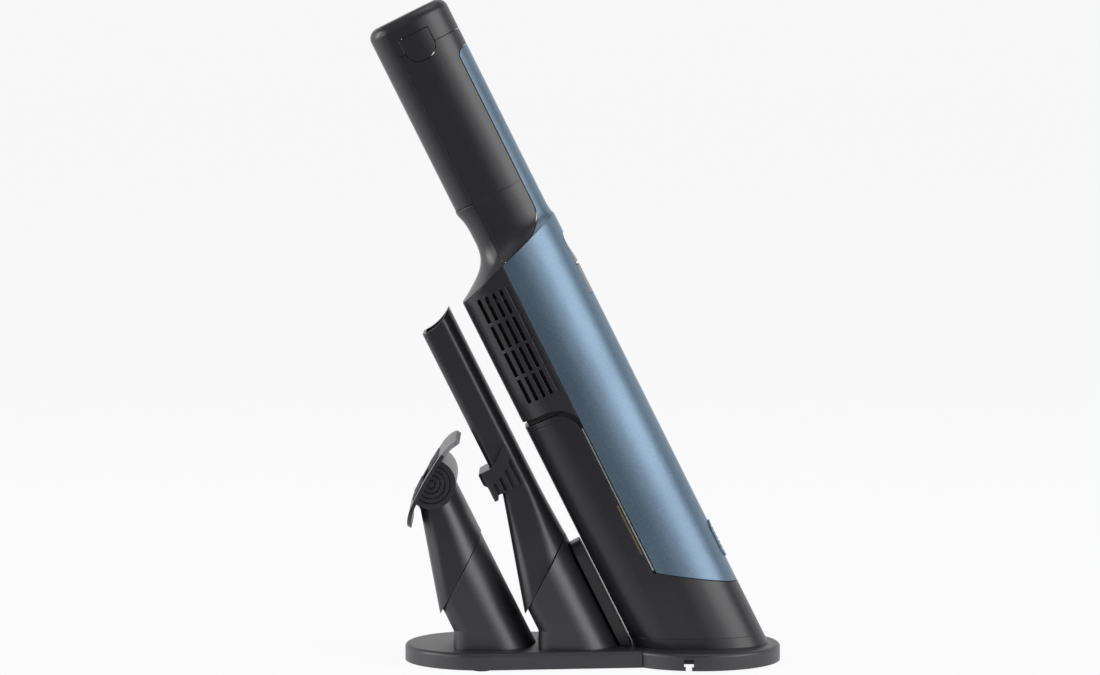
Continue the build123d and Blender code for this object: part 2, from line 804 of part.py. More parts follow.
def inlet_duct():
    tube = rounded(DUCT_X, DUCT_Y, DUCT_R, FLOOR_Z, DUCT_TOP)
    tube -= rounded(DUCT_X - 2 * DUCT_WALL, DUCT_Y - 2 * DUCT_WALL, DUCT_R - DUCT_WALL, FLOOR_Z, DUCT_TOP)
    inner = DUCT_Y / 2 - DUCT_R
    for ear in both_sides(block(DUCT_X / 2 - DUCT_WALL, FLAP_X + FLAP_BARREL_R, inner, inner + EAR_T,
                                DUCT_TOP - 2 * DUCT_R, FLAP_Z + FLAP_BARREL_R)):
        tube += ear
    return tube - cross_rod(FLAP_X, FLAP_Z, -DUCT_Y, DUCT_Y, FLAP_PIN_R)


def flap_pin():
    half = DUCT_Y / 2 - DUCT_R + EAR_T
    return cross_rod(FLAP_X, FLAP_Z, -half, half, FLAP_PIN_R)


def inlet_flap():
    """Plate over the duct's end with a hinge barrel between the two ears."""
    half = DUCT_Y / 2 - DUCT_R - FIT
    low = DUCT_TOP + FIT
    plate = Pos(-FLAP_BARREL_R / 2, 0, 0) * rounded(DUCT_X, DUCT_Y, DUCT_R, low, low + FLAP_T)
    ear_x = DUCT_X / 2 - DUCT_WALL - FLAP_T
    for ear_room in both_sides(block(ear_x, FAR, half, FAR, low, FAR)):
        plate -= ear_room
    barrel = cross_rod(FLAP_X, FLAP_Z, -half, half, FLAP_BARREL_R)
    bridge = block(0, FLAP_X, -half, half, low, low + FLAP_T)
    return plate + barrel + bridge - cross_rod(FLAP_X, FLAP_Z, -half, half, FLAP_PIN_R + RUN)


# Battery pack

PACK = WALL + FIT
PACK_LOW = KINK_Z + PACK_RISE
ROOM = PACK + PACK_WALL
ROOM_LOW = PACK_LOW + PACK_WALL
CELL_R = (HANDLE_DEPTH - 2 * ROOM - 2 * CELL_ROOM - CELL_GAP) / 4
CELL_PITCH = 2 * CELL_R + CELL_GAP
CELL_LOW = KINK_Z + CELL_START
CELL_HIGH = CELL_LOW + CELL_LEN
BLADE_LOW = KINK_Z - SOCKET_BLOCK_H / 2


def blade_block(grow, low, high):
    blades = []
    for side in (-1, 1):
        x = HANDLE_MID + side * BLADE_APART / 2
        half_x, half_y = BLADE_W / 2 + grow, BLADE_THICK / 2 + grow
        blades.append(block(x - half_x, x + half_x, -half_y, half_y, low, high))
    return blades


def tab_room():
    """Space behind each release tab, for its swing."""
    y = HANDLE_WIDTH / 2 - TAB_ROOM
    slot = tab_outline(FIT)
    return both_sides(slot & block(-FAR, FAR, y, FAR, 0, 2 * WAND_LEN))


def battery_case():
    limit = zone([
        (-FAR, KINK_Z), (PACK_SEAM_X, KINK_Z), (PACK_SEAM_X, CAP_Z),
        (FAR, CAP_Z), (FAR, 2 * WAND_LEN), (-FAR, 2 * WAND_LEN),
    ])
    case = (rounded_handle() & limit) + handle_form(PACK, CAP_Z + WALL)
    case -= block(PACK_SEAM_X, FAR, -FAR, FAR, 0, PACK_LOW)
    case -= HANDLE.inset(ROOM).prism(ROOM_LOW, WAND_LEN - END_ROUND)
    for cutter in tab_room() + blade_block(SLOT_ROOM, KINK_Z, CELL_LOW):
        case -= cutter
    return case


def battery_cells():
    places = (HANDLE_MID - CELL_PITCH / 2, HANDLE_MID + CELL_PITCH / 2)
    return [rod(x, 0, CELL_LOW, CELL_HIGH, CELL_R) for x in places]


def cell_holders():
    holders = []
    for low in (CELL_LOW, CELL_HIGH - HOLDER_T):
        plate = HANDLE.inset(ROOM + SEAT).prism(low, low + HOLDER_T)
        for side in (-1, 1):
            x = HANDLE_MID + side * CELL_PITCH / 2
            plate -= rod(x, 0, low, low + HOLDER_T, CELL_R)
        holders.append(plate)
    return holders


def battery_board():
    half_y = HANDLE_WIDTH / 2 - TAB_ROOM - FIT
    plate = HANDLE.inset(ROOM + SEAT).prism(CELL_HIGH, CELL_HIGH + BOARD_T)
    return plate & block(-FAR, FAR, -half_y, half_y, CELL_HIGH, CELL_HIGH + BOARD_T)


def battery_contacts():
    """Brass clips under the lower cell holder that grip the socket's blades."""
    clips = []
    holes = blade_block(FIT, 0, CELL_LOW - BLADE_THICK)
    for outer, hole in zip(blade_block(SLOT_ROOM + SEAM, ROOM_LOW, CELL_LOW), holes):
        clips.append(outer - hole)
    return clips


def battery_socket():
    base = neck_form(WALL + SEAT) & block(-FAR, FAR, -FAR, FAR, KINK_Z - SOCKET_BLOCK_H, KINK_Z - SEAM)
    for cutter in blade_block(0.0, BLADE_LOW, KINK_Z):
        base -= cutter
    return base


def release_tab(side):
    """One release tab: side -1 faces the front, 1 the back."""
    tab = (rounded_handle() & tab_outline()) - HANDLE.inset(TAB_T).prism(KINK_Z, 2 * WAND_LEN)
    half = block(-FAR, FAR, 0, FAR, 0, 2 * WAND_LEN)
    return tab & (half if side > 0 else mirror(half, about=Plane.XZ))


# Dock

ACC_R = DISC_R - ACC_STEP
FOOT_AT = DISC_R - FOOT_EDGE


def disc(radius, low, high):
    return rod(0, 0, low, high, radius)


def hull_plate(inset, low, high):
    """Outline of the accessory base: a big round end drawn in towards the disc."""
    big = Pos(ACC_X, 0) * Circle(ACC_R - inset)
    small = Pos(WAIST_X, 0) * Circle(WAIST_R - inset)
    face = make_hull(big.edges() + small.edges())
    return Pos(0, 0, low) * extrude(face, amount=high - low, dir=(0, 0, 1))


def around(count, radius, start, x=0.0):
    places = []
    for step in range(count):
        place = Vector(radius, 0).rotate(Axis.Z, start + 360 * step / count)
        places.append((x + place.X, place.Y))
    return places


DISC_SCREWS = around(3, SCREW_AT, DISC_SCREW_TURN)
ACC_SCREWS = around(4, SCREW_AT, ACC_SCREW_TURN, ACC_X)
ROOF_Z = BASE_H - WALL
PLATE_TOP = FOOT_H + PLATE_T
TONGUE_Z = (PLATE_TOP + ROOF_Z) / 2


def cord_notch():
    """Keyhole through the rim: a narrow slit at the table, wider above it."""
    room = block(NOTCH_X - NOTCH_W / 2, NOTCH_X + NOTCH_W / 2, -FAR, -DISC_R / 2, SLIT_H, NOTCH_H)
    return room + block(NOTCH_X - SLIT_W / 2, NOTCH_X + SLIT_W / 2, -FAR, -DISC_R / 2, 0, SLIT_H)


def tongue(grow=0.0):
    half = TONGUE_W / 2 + grow
    end = -DISC_R + BASE_WALL + TONGUE_L / 2
    thick = TONGUE_T / 2 + grow
    return block(end - 2 * TONGUE_L, end, -half, half, TONGUE_Z - thick, TONGUE_Z + thick)


def with_bosses(base, places):
    for x, y in places:
        base += rod(x, y, PLATE_TOP, ROOF_Z + SEAM, BOSS_R)
        base -= rod(x, y, FOOT_H, ROOF_Z - SEAM, SCREW_R)
    return base


def charging_base():
    base = disc(DISC_R, FOOT_H, BASE_H)
    base = fillet(base.faces().sort_by(Axis.Z)[-1].edges(), BASE_ROUND)
    base -= disc(DISC_R - BASE_WALL, FOOT_H, ROOF_Z)
    base = with_bosses(base, DISC_SCREWS)
    return base - cord_notch() - tongue(SEAT)


def bottom_plate(plate, places):
    for x, y in places:
        plate -= rod(x, y, 0, PLATE_TOP, SCREW_R + SEAM)
        plate -= rod(x, y, 0, FOOT_H + SCREW_HEAD_H, SCREW_HEAD_R + SEAM)
    return plate


def charging_base_bottom():
    plate = disc(DISC_R - BASE_WALL - SEAT, FOOT_H, PLATE_TOP)
    half = JACK_W / 2 + SEAT
    plate -= block(NOTCH_X - half, NOTCH_X + half, -FAR, -JACK_AT + SEAT, 0, PLATE_TOP)
    return bottom_plate(plate, DISC_SCREWS)


def accessory_base():
    base = hull_plate(0.0, FOOT_H, BASE_H)
    base = fillet(base.faces().sort_by(Axis.Z)[-1].edges(), BASE_ROUND)
    room = hull_plate(BASE_WALL, FOOT_H, ROOF_Z) - disc(DISC_R + SEAM + BASE_WALL, FOOT_H, ROOF_Z)
    base = with_bosses(base - room, ACC_SCREWS) - disc(DISC_R + SEAM, 0, 2 * BASE_H)
    return base + tongue()


def accessory_base_bottom():
    plate = hull_plate(BASE_WALL + SEAT, FOOT_H, PLATE_TOP)
    plate -= disc(DISC_R + SEAM + BASE_WALL + SEAT, FOOT_H, PLATE_TOP)
    return bottom_plate(plate, ACC_SCREWS)


def base_screws():
    screws = []
    for x, y in DISC_SCREWS + ACC_SCREWS:
        head = rod(x, y, FOOT_H, FOOT_H + SCREW_HEAD_H, SCREW_HEAD_R)
        screws.append(head + rod(x, y, FOOT_H, ROOF_Z - WALL, SCREW_R))
    return screws


def rubber_feet():
    places = around(3, FOOT_AT, DISC_FOOT_TURN) + around(4, FOOT_AT, 0, ACC_X)
    return [rod(0, 0, 0, FOOT_H, PAD_R)] + [rod(x, y, 0, FOOT_H, FOOT_R) for x, y in places]


JACK_Z = (SLIT_H + NOTCH_H) / 2


def dc_jack():
    """Round power socket, facing the cord notch in the front rim."""
    body = block(NOTCH_X - JACK_W / 2, NOTCH_X + JACK_W / 2, -JACK_AT - JACK_L, -JACK_AT, FOOT_H, ROOF_Z)
    return body - cross_rod(NOTCH_X, JACK_Z, -JACK_AT - JACK_L, -JACK_AT - WALL, JACK_BORE_R)


def dock_board():
    x = NOTCH_X + JACK_W / 2 + FIT
    y = -JACK_AT - JACK_L
    return block(x, x + BOARD_DOCK_W, y, y + BOARD_DOCK_L, PLATE_TOP, PLATE_TOP + BOARD_T)


def spigot(low, high):
    """Hollow plug with the section that every socket takes."""
    outer = rounded(SPIGOT_X, SPIGOT_Y, SPIGOT_R, low, high)
    inner = rounded(SPIGOT_X - 2 * WALL, SPIGOT_Y - 2 * WALL, SPIGOT_R - WALL, low, high)
    return outer - inner


def docking_spigot():
    plug = spigot(-SPIGOT_X, SPIGOT_LEN) & above_mouth(0.0)
    return plug - cross_rod(0, PIN_Z, -SPIGOT_Y, SPIGOT_Y, PIN_R)


def charge_pins():
    y = SPIGOT_Y / 2 + PIN_PROUD
    return both_sides(cross_rod(0, PIN_Z, y - WALL - PIN_PROUD - PIN_R, y, PIN_R))


# Tool posts and fin

POST = Oval(-POST_DEPTH / 2, POST_DEPTH / 2, POST_WIDTH / 2, POST_CORNER, POST_DEPTH / 2 - POST_CROWN)


def joint_plane(x, gap=0.0):
    return POST_TOP + x * slope(POST_SLANT) + gap / cos(radians(POST_SLANT))


def above_joint(gap):
    points = [(-FAR, joint_plane(-FAR, gap)), (FAR, joint_plane(FAR, gap)), (FAR, 4 * FAR), (-FAR, 4 * FAR)]
    return zone(points)


def tool_post():
    """Leaning post with the tools' socket; its low side stands upright over the base."""
    foot = Oval(POST.low - POST_FOOT_H * sin(radians(LEAN)), POST.high, POST.half, POST.corner, POST.crown)
    sections = [
        foot.face(0.0, -LEAN),
        POST.face(POST_FOOT_H / TILT_COS, -LEAN),
        POST.face(POST_TOP + POST_DEPTH),
    ]
    post = loft(sections, ruled=True) - above_joint(0.0)
    return post - rounded(SOCKET_X, SOCKET_Y, SOCKET_R, POST_FLOOR, FAR)


def wand_rest():
    """Fin between the crevice tool's post and the wand."""
    x0 = CREVICE_AT + POST.high + RUN
    x1 = -HALF_D - REST_GAP
    fin = block(x0, x1, -REST_WIDTH / 2, REST_WIDTH / 2, -FAR, REST_H + mouth(x1))
    fin &= above_mouth(0.0)
    top = fin.edges().filter_by(Axis.X).sort_by(Axis.Z)[-2:]
    return fillet(top, REST_WIDTH / 3)


# Tools

def tool_spigot(low):
    """Plug under a tool, from just above its post's floor up into its body."""
    return spigot(POST_FLOOR + FIT, low)


BASE_OVAL = Oval(POST.low - TOOL_LAP, POST.high + TOOL_LAP_BACK, POST.half + FIT, POST_CORNER, POST.crown)
TOOL_LOW = joint_plane(BASE_OVAL.low)


def tool_shell(outer, inner):
    """Hollow body that stands on the post's joint plane with a thin floor and the shared spigot."""
    body = (outer & above_joint(FIT)) - (inner & above_joint(FIT + TOOL_FLOOR))
    plug = tool_spigot(FAR) - above_joint(FIT + TOOL_FLOOR)
    bore = rounded(SPIGOT_X - 2 * WALL, SPIGOT_Y - 2 * WALL, SPIGOT_R - WALL, 0, POST_TOP + SPIGOT_X)
    return body + plug - (bore - above_joint(FIT + TOOL_FLOOR))


CREVICE = Oval(CREVICE_LOW, CREVICE_LOW + CREVICE_DEPTH, CREVICE_WIDTH / 2, CREVICE_CORNER,
               CREVICE_LOW + CREVICE_DEPTH - CREVICE_CROWN)
CREVICE_NECK = CARRIAGE_LOW - FIT


def taper(start, end, low, high, inset):
    """Loft with a straight low edge; its other sides leave and arrive without a kink."""
    sections = []
    for step in range(6):
        share = step / 5
        ease = share * share * (3 - 2 * share)
        oval = start.blend(end, ease)
        oval.low = start.low + (end.low - start.low) * share
        sections.append(oval.inset(inset).face(low + share * (high - low)))
    return loft(sections)


def crevice_form(inset):
    shank = CREVICE.inset(inset).prism(CREVICE_NECK, CREVICE_TIP)
    return taper(BASE_OVAL, CREVICE, TOOL_LOW, CREVICE_NECK, inset) + shank


def tip_cut():
    """Round hollow across the slanted tip."""
    x0, x1 = CREVICE.low, CREVICE.high
    half = sqrt((x1 - x0) ** 2 + TIP_DROP ** 2) / 2
    angle = radians(90) + (TIP_DROP / (x1 - x0))
    reach = sqrt(TIP_R ** 2 - half ** 2)
    x = (x0 + x1) / 2 + reach * cos(angle)
    z = CREVICE_TIP - TIP_DROP / 2 + reach * sin(angle)
    return cross_rod(x, z, -SPAN, SPAN, TIP_R)


def crevice_body():
    tool = tool_shell(crevice_form(0.0), crevice_form(TOOL_WALL)) - tip_cut()
    high = CREVICE_TIP + 1
    tool -= CREVICE.inset(TOOL_WALL).prism(CREVICE_TIP - TOOL_WALL, high)
    half = TRACK_W / 2
    depth = CREVICE.low + TOOL_WALL / 2
    low = CARRIAGE_LOW - FIT
    return tool - block(-FAR, depth, -half, half, low, low + TRACK_LEN)


def band_zone(drop):
    """Side view of the thumb slide's band; drop lowers its hollow top edge."""
    x0, x1 = CREVICE.low, CREVICE.low + CARRIAGE_WING
    top = CARRIAGE_LOW + CARRIAGE_H - drop
    points = [(-FAR, CARRIAGE_LOW), (x1, CARRIAGE_LOW), (x1, top + CARRIAGE_RISE),
              ((x0 + x1) / 2, top + CARRIAGE_RISE / 3), (x0, top), (-FAR, top)]
    return zone(points, [0, HOOK_ROUND, HOOK_ROUND, CARRIAGE_WING, 0, 0])


def carriage_hook(outside):
    """Thumb lip across the band's low side, with a leg that hangs from it."""
    x0 = outside.low - HOOK_REACH
    leg = x0 + HOOK_STEP
    inner = CREVICE.low + CREVICE_CORNER
    top = CARRIAGE_LOW + CARRIAGE_H
    low = CARRIAGE_LOW - HOOK_DROP
    points = [(inner, CARRIAGE_LOW), (inner, top), (x0, top), (x0, top - HOOK_LIP),
              (leg, top - HOOK_LIP - HOOK_STEP), (leg, low), (leg + HOOK_LEG, low),
              (outside.low, CARRIAGE_LOW)]
    side = zone(points, [0, 0, HOOK_ROUND, HOOK_ROUND, HOOK_ROUND, HOOK_LEG / 4, HOOK_LEG / 4, 0])
    return side & Oval(x0, outside.high, outside.half, CREVICE_CORNER, outside.crown).prism(low, top)


def brush_carriage():
    """Thumb slide round the shank's low side, with a hook, open finger slots and a key in the track."""
    outside = CREVICE.inset(-FIT - CARRIAGE_T)
    top = CARRIAGE_LOW + CARRIAGE_H
    high = top + CARRIAGE_RISE
    body = (outside.prism(CARRIAGE_LOW, high) & band_zone(0.0)) + carriage_hook(outside)
    body -= CREVICE.inset(-FIT).prism(CARRIAGE_LOW - HOOK_DROP, high)
    roof = band_zone(SLOT_ROOF)
    for slot in range(CARRIAGE_SLOTS):
        x = CREVICE.low + CARRIAGE_WING - SLOT_PITCH * (slot + 0.5)
        for face in (-outside.half, outside.half):
            body -= roof & Pos(x, face, CARRIAGE_LOW) * Box(SLOT_GAP, 2 * (CARRIAGE_T + FIT), 4 * CARRIAGE_H)
    key = TRACK_W / 2 - FIT
    return body + block(outside.low, CREVICE.low + FIT, -key, key, CARRIAGE_LOW, top)


UPH_NECK = Oval(UPH_TOP_LOW, BASE_OVAL.high, UPH_TOP_WIDTH / 2, POST_CORNER, BASE_OVAL.high - UPH_CROWN)
HEAD = Location((HEAD_X, 0, HEAD_Z), (0, -HEAD_TILT, 0))


LIP_LIFT = HEAD_WALL
LIP_TURN = asin(LIP_FLAT / 2 / LIP_BOW_R)
CURL_X = (LIP_BOW_R - LIP_CURL_R) * sin(LIP_TURN)
CURL_Z = LIP_LIFT - LIP_BOW_R + (LIP_BOW_R - LIP_CURL_R) * cos(LIP_TURN)


def lip_mass(lift):
    """All that lies under a face over the head: a shallow bow that curls back at both ends."""
    turn = degrees(LIP_TURN)
    curl = LIP_CURL_R + lift
    edges = [
        CenterArc((CURL_X, CURL_Z), curl, 0, 90 - turn),
        CenterArc((0, LIP_LIFT - LIP_BOW_R), LIP_BOW_R + lift, 90 - turn, 2 * turn),
        CenterArc((-CURL_X, CURL_Z), curl, 90 + turn, 90 - turn),
        Line((-CURL_X - curl, CURL_Z), (CURL_X + curl, CURL_Z)),
    ]
    return extrude(make_face(Plane.XZ * (Curve() + edges)), amount=SPAN, both=True)


def lip_arc(lift, thick, start, length):
    """Curled slab over the head, lift above its inner face, in the head's frame with z outwards."""
    slab = lip_mass(lift + thick) - lip_mass(lift)
    return slab & block(start, start + length, -SPAN, SPAN, CURL_Z, SPAN)


def lip_plan():
    return rounded(LIP_LEN, LIP_WIDTH, LIP_CORNER, -SPAN, SPAN)


def mouth_slot():
    return block(-MOUTH_W / 2, MOUTH_W / 2, -MOUTH_LEN / 2, MOUTH_LEN / 2, -HEAD_R / 2, LIP_LIFT + 3 * LIP_T)


def head_form():
    """Half barrel with ring grooves on both ends, and the bowed plate on its flat side."""
    half = HEAD_LEN / 2
    barrel = cross_rod(0, 0, -half, half, HEAD_R)
    barrel &= block(-SPAN, SPAN, -SPAN, SPAN, -SPAN, LIP_LIFT)
    pitch = HEAD_R / (RING_COUNT + 1)
    for ring in range(RING_COUNT):
        radius = pitch * (ring + 1)
        for y0, y1 in ((-half, -half + RING_DEEP), (half - RING_DEEP, half)):
            barrel -= cross_rod(0, 0, y0, y1, radius) - cross_rod(0, 0, y0, y1, radius - RING_W)
    plate = lip_arc(0.0, LIP_T, -LIP_LEN / 2, LIP_LEN - BLADE_LEN) & lip_plan()
    room = cross_rod(0, 0, -half + HEAD_WALL + RING_DEEP, half - HEAD_WALL - RING_DEEP, HEAD_R - HEAD_WALL)
    room &= block(-SPAN, SPAN, -SPAN, SPAN, -SPAN, 0)
    return HEAD * (barrel - room + plate - mouth_slot()), HEAD * (room + mouth_slot())


def upholstery_form(inset):
    neck = UPH_NECK.inset(inset).prism(UPH_TOP, HEAD_Z)
    return taper(BASE_OVAL, UPH_NECK, TOOL_LOW, UPH_TOP, inset) + neck


def upholstery_body():
    outer = upholstery_form(0.0)
    inner = upholstery_form(TOOL_WALL)
    behind = HEAD * block(-SPAN, SPAN, -SPAN, SPAN, -2 * SPAN, 0)
    head, room = head_form()
    tool = tool_shell(outer & behind, inner & behind) - room + head
    return tool - (inner & behind & above_joint(FIT + TOOL_FLOOR))


def lip_blade():
    """Soft flared edge that carries on from the plate."""
    start = LIP_LEN / 2 - BLADE_LEN
    return HEAD * (lip_arc(0.0, LIP_T, start, BLADE_LEN) & lip_plan())


def lint_pads():
    """Two rubber lint strips beside the suction mouth."""
    pads = []
    for start in (MOUTH_W / 2 + PAD_GAP - PAD_W / 2, -MOUTH_W / 2 - PAD_GAP - PAD_W / 2):
        strip = lip_arc(LIP_T, PAD_T, start, PAD_W)
        pads.append(HEAD * (strip & block(-SPAN, SPAN, -MOUTH_LEN / 2, MOUTH_LEN / 2, -SPAN, SPAN)))
    return pads


os.makedirs("parts", exist_ok=True)

write("charging_base", charging_base())
write("charging_base_bottom", charging_base_bottom())
write("accessory_base", accessory_base())
write("accessory_base_bottom", accessory_base_bottom())
write("base_screws", *base_screws())
write("rubber_feet", *rubber_feet())
write("dc_jack", dc_jack())
write("dock_board", dock_board())

WAND_PIECES = {
    "docking_spigot": [docking_spigot()],
    "charge_pins": charge_pins(),
    "wand_rest": [wand_rest()],
    "dust_cup": [dust_cup()],
    "nozzle_rim": [nozzle_rim()],
    "slide_rails": both_sides(slide_rail()),
    "fill_windows": both_sides(window_block()),
    "charge_pads": both_sides(pad_block()),
    "inlet_duct": [inlet_duct()],
    "flap_pin": [flap_pin()],
    "inlet_flap": [inlet_flap()],
    "top_shell": [top_shell()],
    "vent_housing": [vent_housing()],
    "handle_shell": [handle_shell()],
    "neck_cover": [neck_cover()],
    "core_frame": [core_frame()],
    "shell_screws": shell_screws(),
    "cup_seal": [cup_seal()],
    "filter_frame": [filter_frame()],
    "pleated_filter": [pleated_filter()],
    "filter_screen": [filter_screen()],
    "motor_can": [motor_can()],
    "motor_bearings": motor_bearings(),
    "motor_mounts": motor_mounts(),
    "motor_shaft": [motor_shaft()],
    "impeller": [impeller()],
    "exhaust_foam": [exhaust_foam()],
    "control_board": [control_board()],
    "push_switches": push_switches(),
    "power_button": [button(POWER_LOW, POWER_LEN, POWER_DROP)],
    "boost_button": [button(BOOST_LOW, BOOST_LEN, 0.0)],
    "cup_latch": [cup_latch()],
    "battery_case": [battery_case()],
    "battery_cells": battery_cells(),
    "cell_holders": cell_holders(),
    "battery_board": [battery_board()],
    "battery_contacts": battery_contacts(),
    "battery_socket": [battery_socket()],
    "socket_blades": blade_block(0.0, BLADE_LOW, KINK_Z + BLADE_RISE),
    "release_tab_front": [release_tab(-1)],
    "release_tab_rear": [release_tab(1)],
}
for node, shapes in WAND_PIECES.items():
    write(node, *[leaned(shape) for shape in shapes])

TOOL_PIECES = {
    "crevice_post": ([tool_post()], CREVICE_AT),
    "upholstery_post": ([tool_post()], UPHOLSTERY_AT),
    "crevice_body": ([crevice_body()], CREVICE_AT),
    "brush_carriage": ([brush_carriage()], CREVICE_AT),
    "upholstery_body": ([upholstery_body()], UPHOLSTERY_AT),
    "lip_blade": ([lip_blade()], UPHOLSTERY_AT),
    "lint_pads": (lint_pads(), UPHOLSTERY_AT),
}
for node, (shapes, offset) in TOOL_PIECES.items():
    write(node, *[leaned(shape, offset) for shape in shapes])
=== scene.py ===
"""Finishes, small repeated pieces and a studio for a wand vacuum that stands in its charging dock."""
from math import cos, pi, radians, sin

import bmesh
import bpy
from bpy.props import FloatProperty, FloatVectorProperty, IntProperty, PointerProperty
from bpy.types import Operator, Panel, PropertyGroup
from mathutils import Euler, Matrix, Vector, noise


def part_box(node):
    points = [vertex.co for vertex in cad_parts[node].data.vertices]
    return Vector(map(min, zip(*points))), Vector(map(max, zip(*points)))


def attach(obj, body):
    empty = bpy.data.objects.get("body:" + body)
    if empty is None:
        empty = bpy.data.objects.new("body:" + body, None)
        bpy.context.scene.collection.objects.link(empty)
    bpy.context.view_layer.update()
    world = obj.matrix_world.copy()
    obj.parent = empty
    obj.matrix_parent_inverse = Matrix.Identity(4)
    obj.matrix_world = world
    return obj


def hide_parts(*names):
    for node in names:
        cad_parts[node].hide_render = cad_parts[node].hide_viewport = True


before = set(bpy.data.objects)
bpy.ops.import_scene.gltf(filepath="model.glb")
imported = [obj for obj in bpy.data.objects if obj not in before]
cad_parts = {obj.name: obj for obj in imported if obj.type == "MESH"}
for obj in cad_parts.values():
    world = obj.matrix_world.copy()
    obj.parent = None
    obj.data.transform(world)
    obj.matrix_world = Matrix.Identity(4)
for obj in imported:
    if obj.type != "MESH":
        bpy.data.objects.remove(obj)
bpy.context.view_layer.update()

MM = 0.001
LEAN = radians(26.5)

bl_info = {
    "name": "Wand vacuum finishes",
    "version": (1, 0, 0),
    "blender": (4, 5, 0),
    "location": "View3D > Sidebar > Vacuum",
    "description": "Finishes, repeated pieces and studio for a wand vacuum in its dock",
    "category": "Object",
}


# Node building

class Wire:
    """An output socket that takes arithmetic; each sum adds one Math node."""

    def __init__(self, graph, socket):
        self.graph = graph
        self.socket = socket

    def math(self, operation, first, second=0.0):
        return self.graph.node("ShaderNodeMath", {"operation": operation}, {0: first, 1: second})

    def __add__(self, other):
        return self.math("ADD", self, other)

    def __radd__(self, other):
        return self.math("ADD", other, self)

    def __sub__(self, other):
        return self.math("SUBTRACT", self, other)

    def __rsub__(self, other):
        return self.math("SUBTRACT", other, self)

    def __mul__(self, other):
        return self.math("MULTIPLY", self, other)

    def __rmul__(self, other):
        return self.math("MULTIPLY", other, self)

    def __truediv__(self, other):
        return self.math("DIVIDE", self, other)

    def __rtruediv__(self, other):
        return self.math("DIVIDE", other, self)

    def __pow__(self, other):
        return self.math("POWER", self, other)

    def larger(self, other):
        return self.math("MAXIMUM", self, other)

    def above(self, other):
        return self.math("GREATER_THAN", self, other)


class Graph:
    """A node tree with one way to add a node and join it up."""

    def __init__(self, tree):
        self.tree = tree

    def node(self, kind, settings=None, inputs=None, output=0):
        made = self.tree.nodes.new(kind)
        for key, value in (settings or {}).items():
            setattr(made, key, value)
        for key, value in (inputs or {}).items():
            self.feed(made.inputs[key], value)
        return Wire(self, made.outputs[output])

    def feed(self, socket, value):
        if isinstance(value, Wire):
            self.tree.links.new(value.socket, socket)
        elif isinstance(value, list):
            for wire in value:
                self.feed(socket, wire)
        elif hasattr(value, "__len__") and socket.type == "RGBA":
            socket.default_value = (*value, 1.0)
        else:
            socket.default_value = value


class Paint(Graph):
    """A material round one Principled shader; constants go straight on its sockets."""

    def __init__(self, name, constants=None):
        self.material = bpy.data.materials.new(name)
        self.material.use_nodes = True
        super().__init__(self.material.node_tree)
        self.shader = self.tree.nodes["Principled BSDF"]
        self.place = self.node("ShaderNodeTexCoord", output="Object")
        for key, value in (constants or {}).items():
            self.feed(self.shader.inputs[key], value)

    def set(self, key, value):
        self.feed(self.shader.inputs[key], value)

    def stretched(self, x, y, z):
        return self.node("ShaderNodeMapping", None, {"Vector": self.place, "Scale": (x, y, z)})

    def grain(self, scale, detail=2.0, place=None):
        sizes = {"Vector": place or self.place, "Scale": scale, "Detail": detail}
        return self.node("ShaderNodeTexNoise", None, sizes)

    def cells(self, scale, output="Distance"):
        return self.node("ShaderNodeTexVoronoi", None, {"Vector": self.place, "Scale": scale}, output)

    def axis(self, letter):
        return self.node("ShaderNodeSeparateXYZ", None, {0: self.place}, letter)

    def mix(self, share, first, second):
        """Blend of two colours, through the Mix node's colour sockets."""
        return self.node("ShaderNodeMix", {"data_type": "RGBA"}, {0: share, 6: first, 7: second}, 2)

    def rounded_edges(self, radius):
        return self.node("ShaderNodeBevel", {"samples": 6}, {"Radius": radius})

    def edge_share(self, rounding):
        """How far the rounded normal has turned from the flat one: only edges are above zero."""
        flat = self.node("ShaderNodeNewGeometry", None, None, "Normal")
        normals = {0: rounding, 1: flat}
        return 1.0 - self.node("ShaderNodeVectorMath", {"operation": "DOT_PRODUCT"}, normals, "Value")

    def bump(self, height, depth, rounding=None):
        inputs = {"Height": height, "Distance": depth, "Strength": 1.0}
        if rounding:
            inputs["Normal"] = rounding
        self.set("Normal", self.node("ShaderNodeBump", None, inputs))


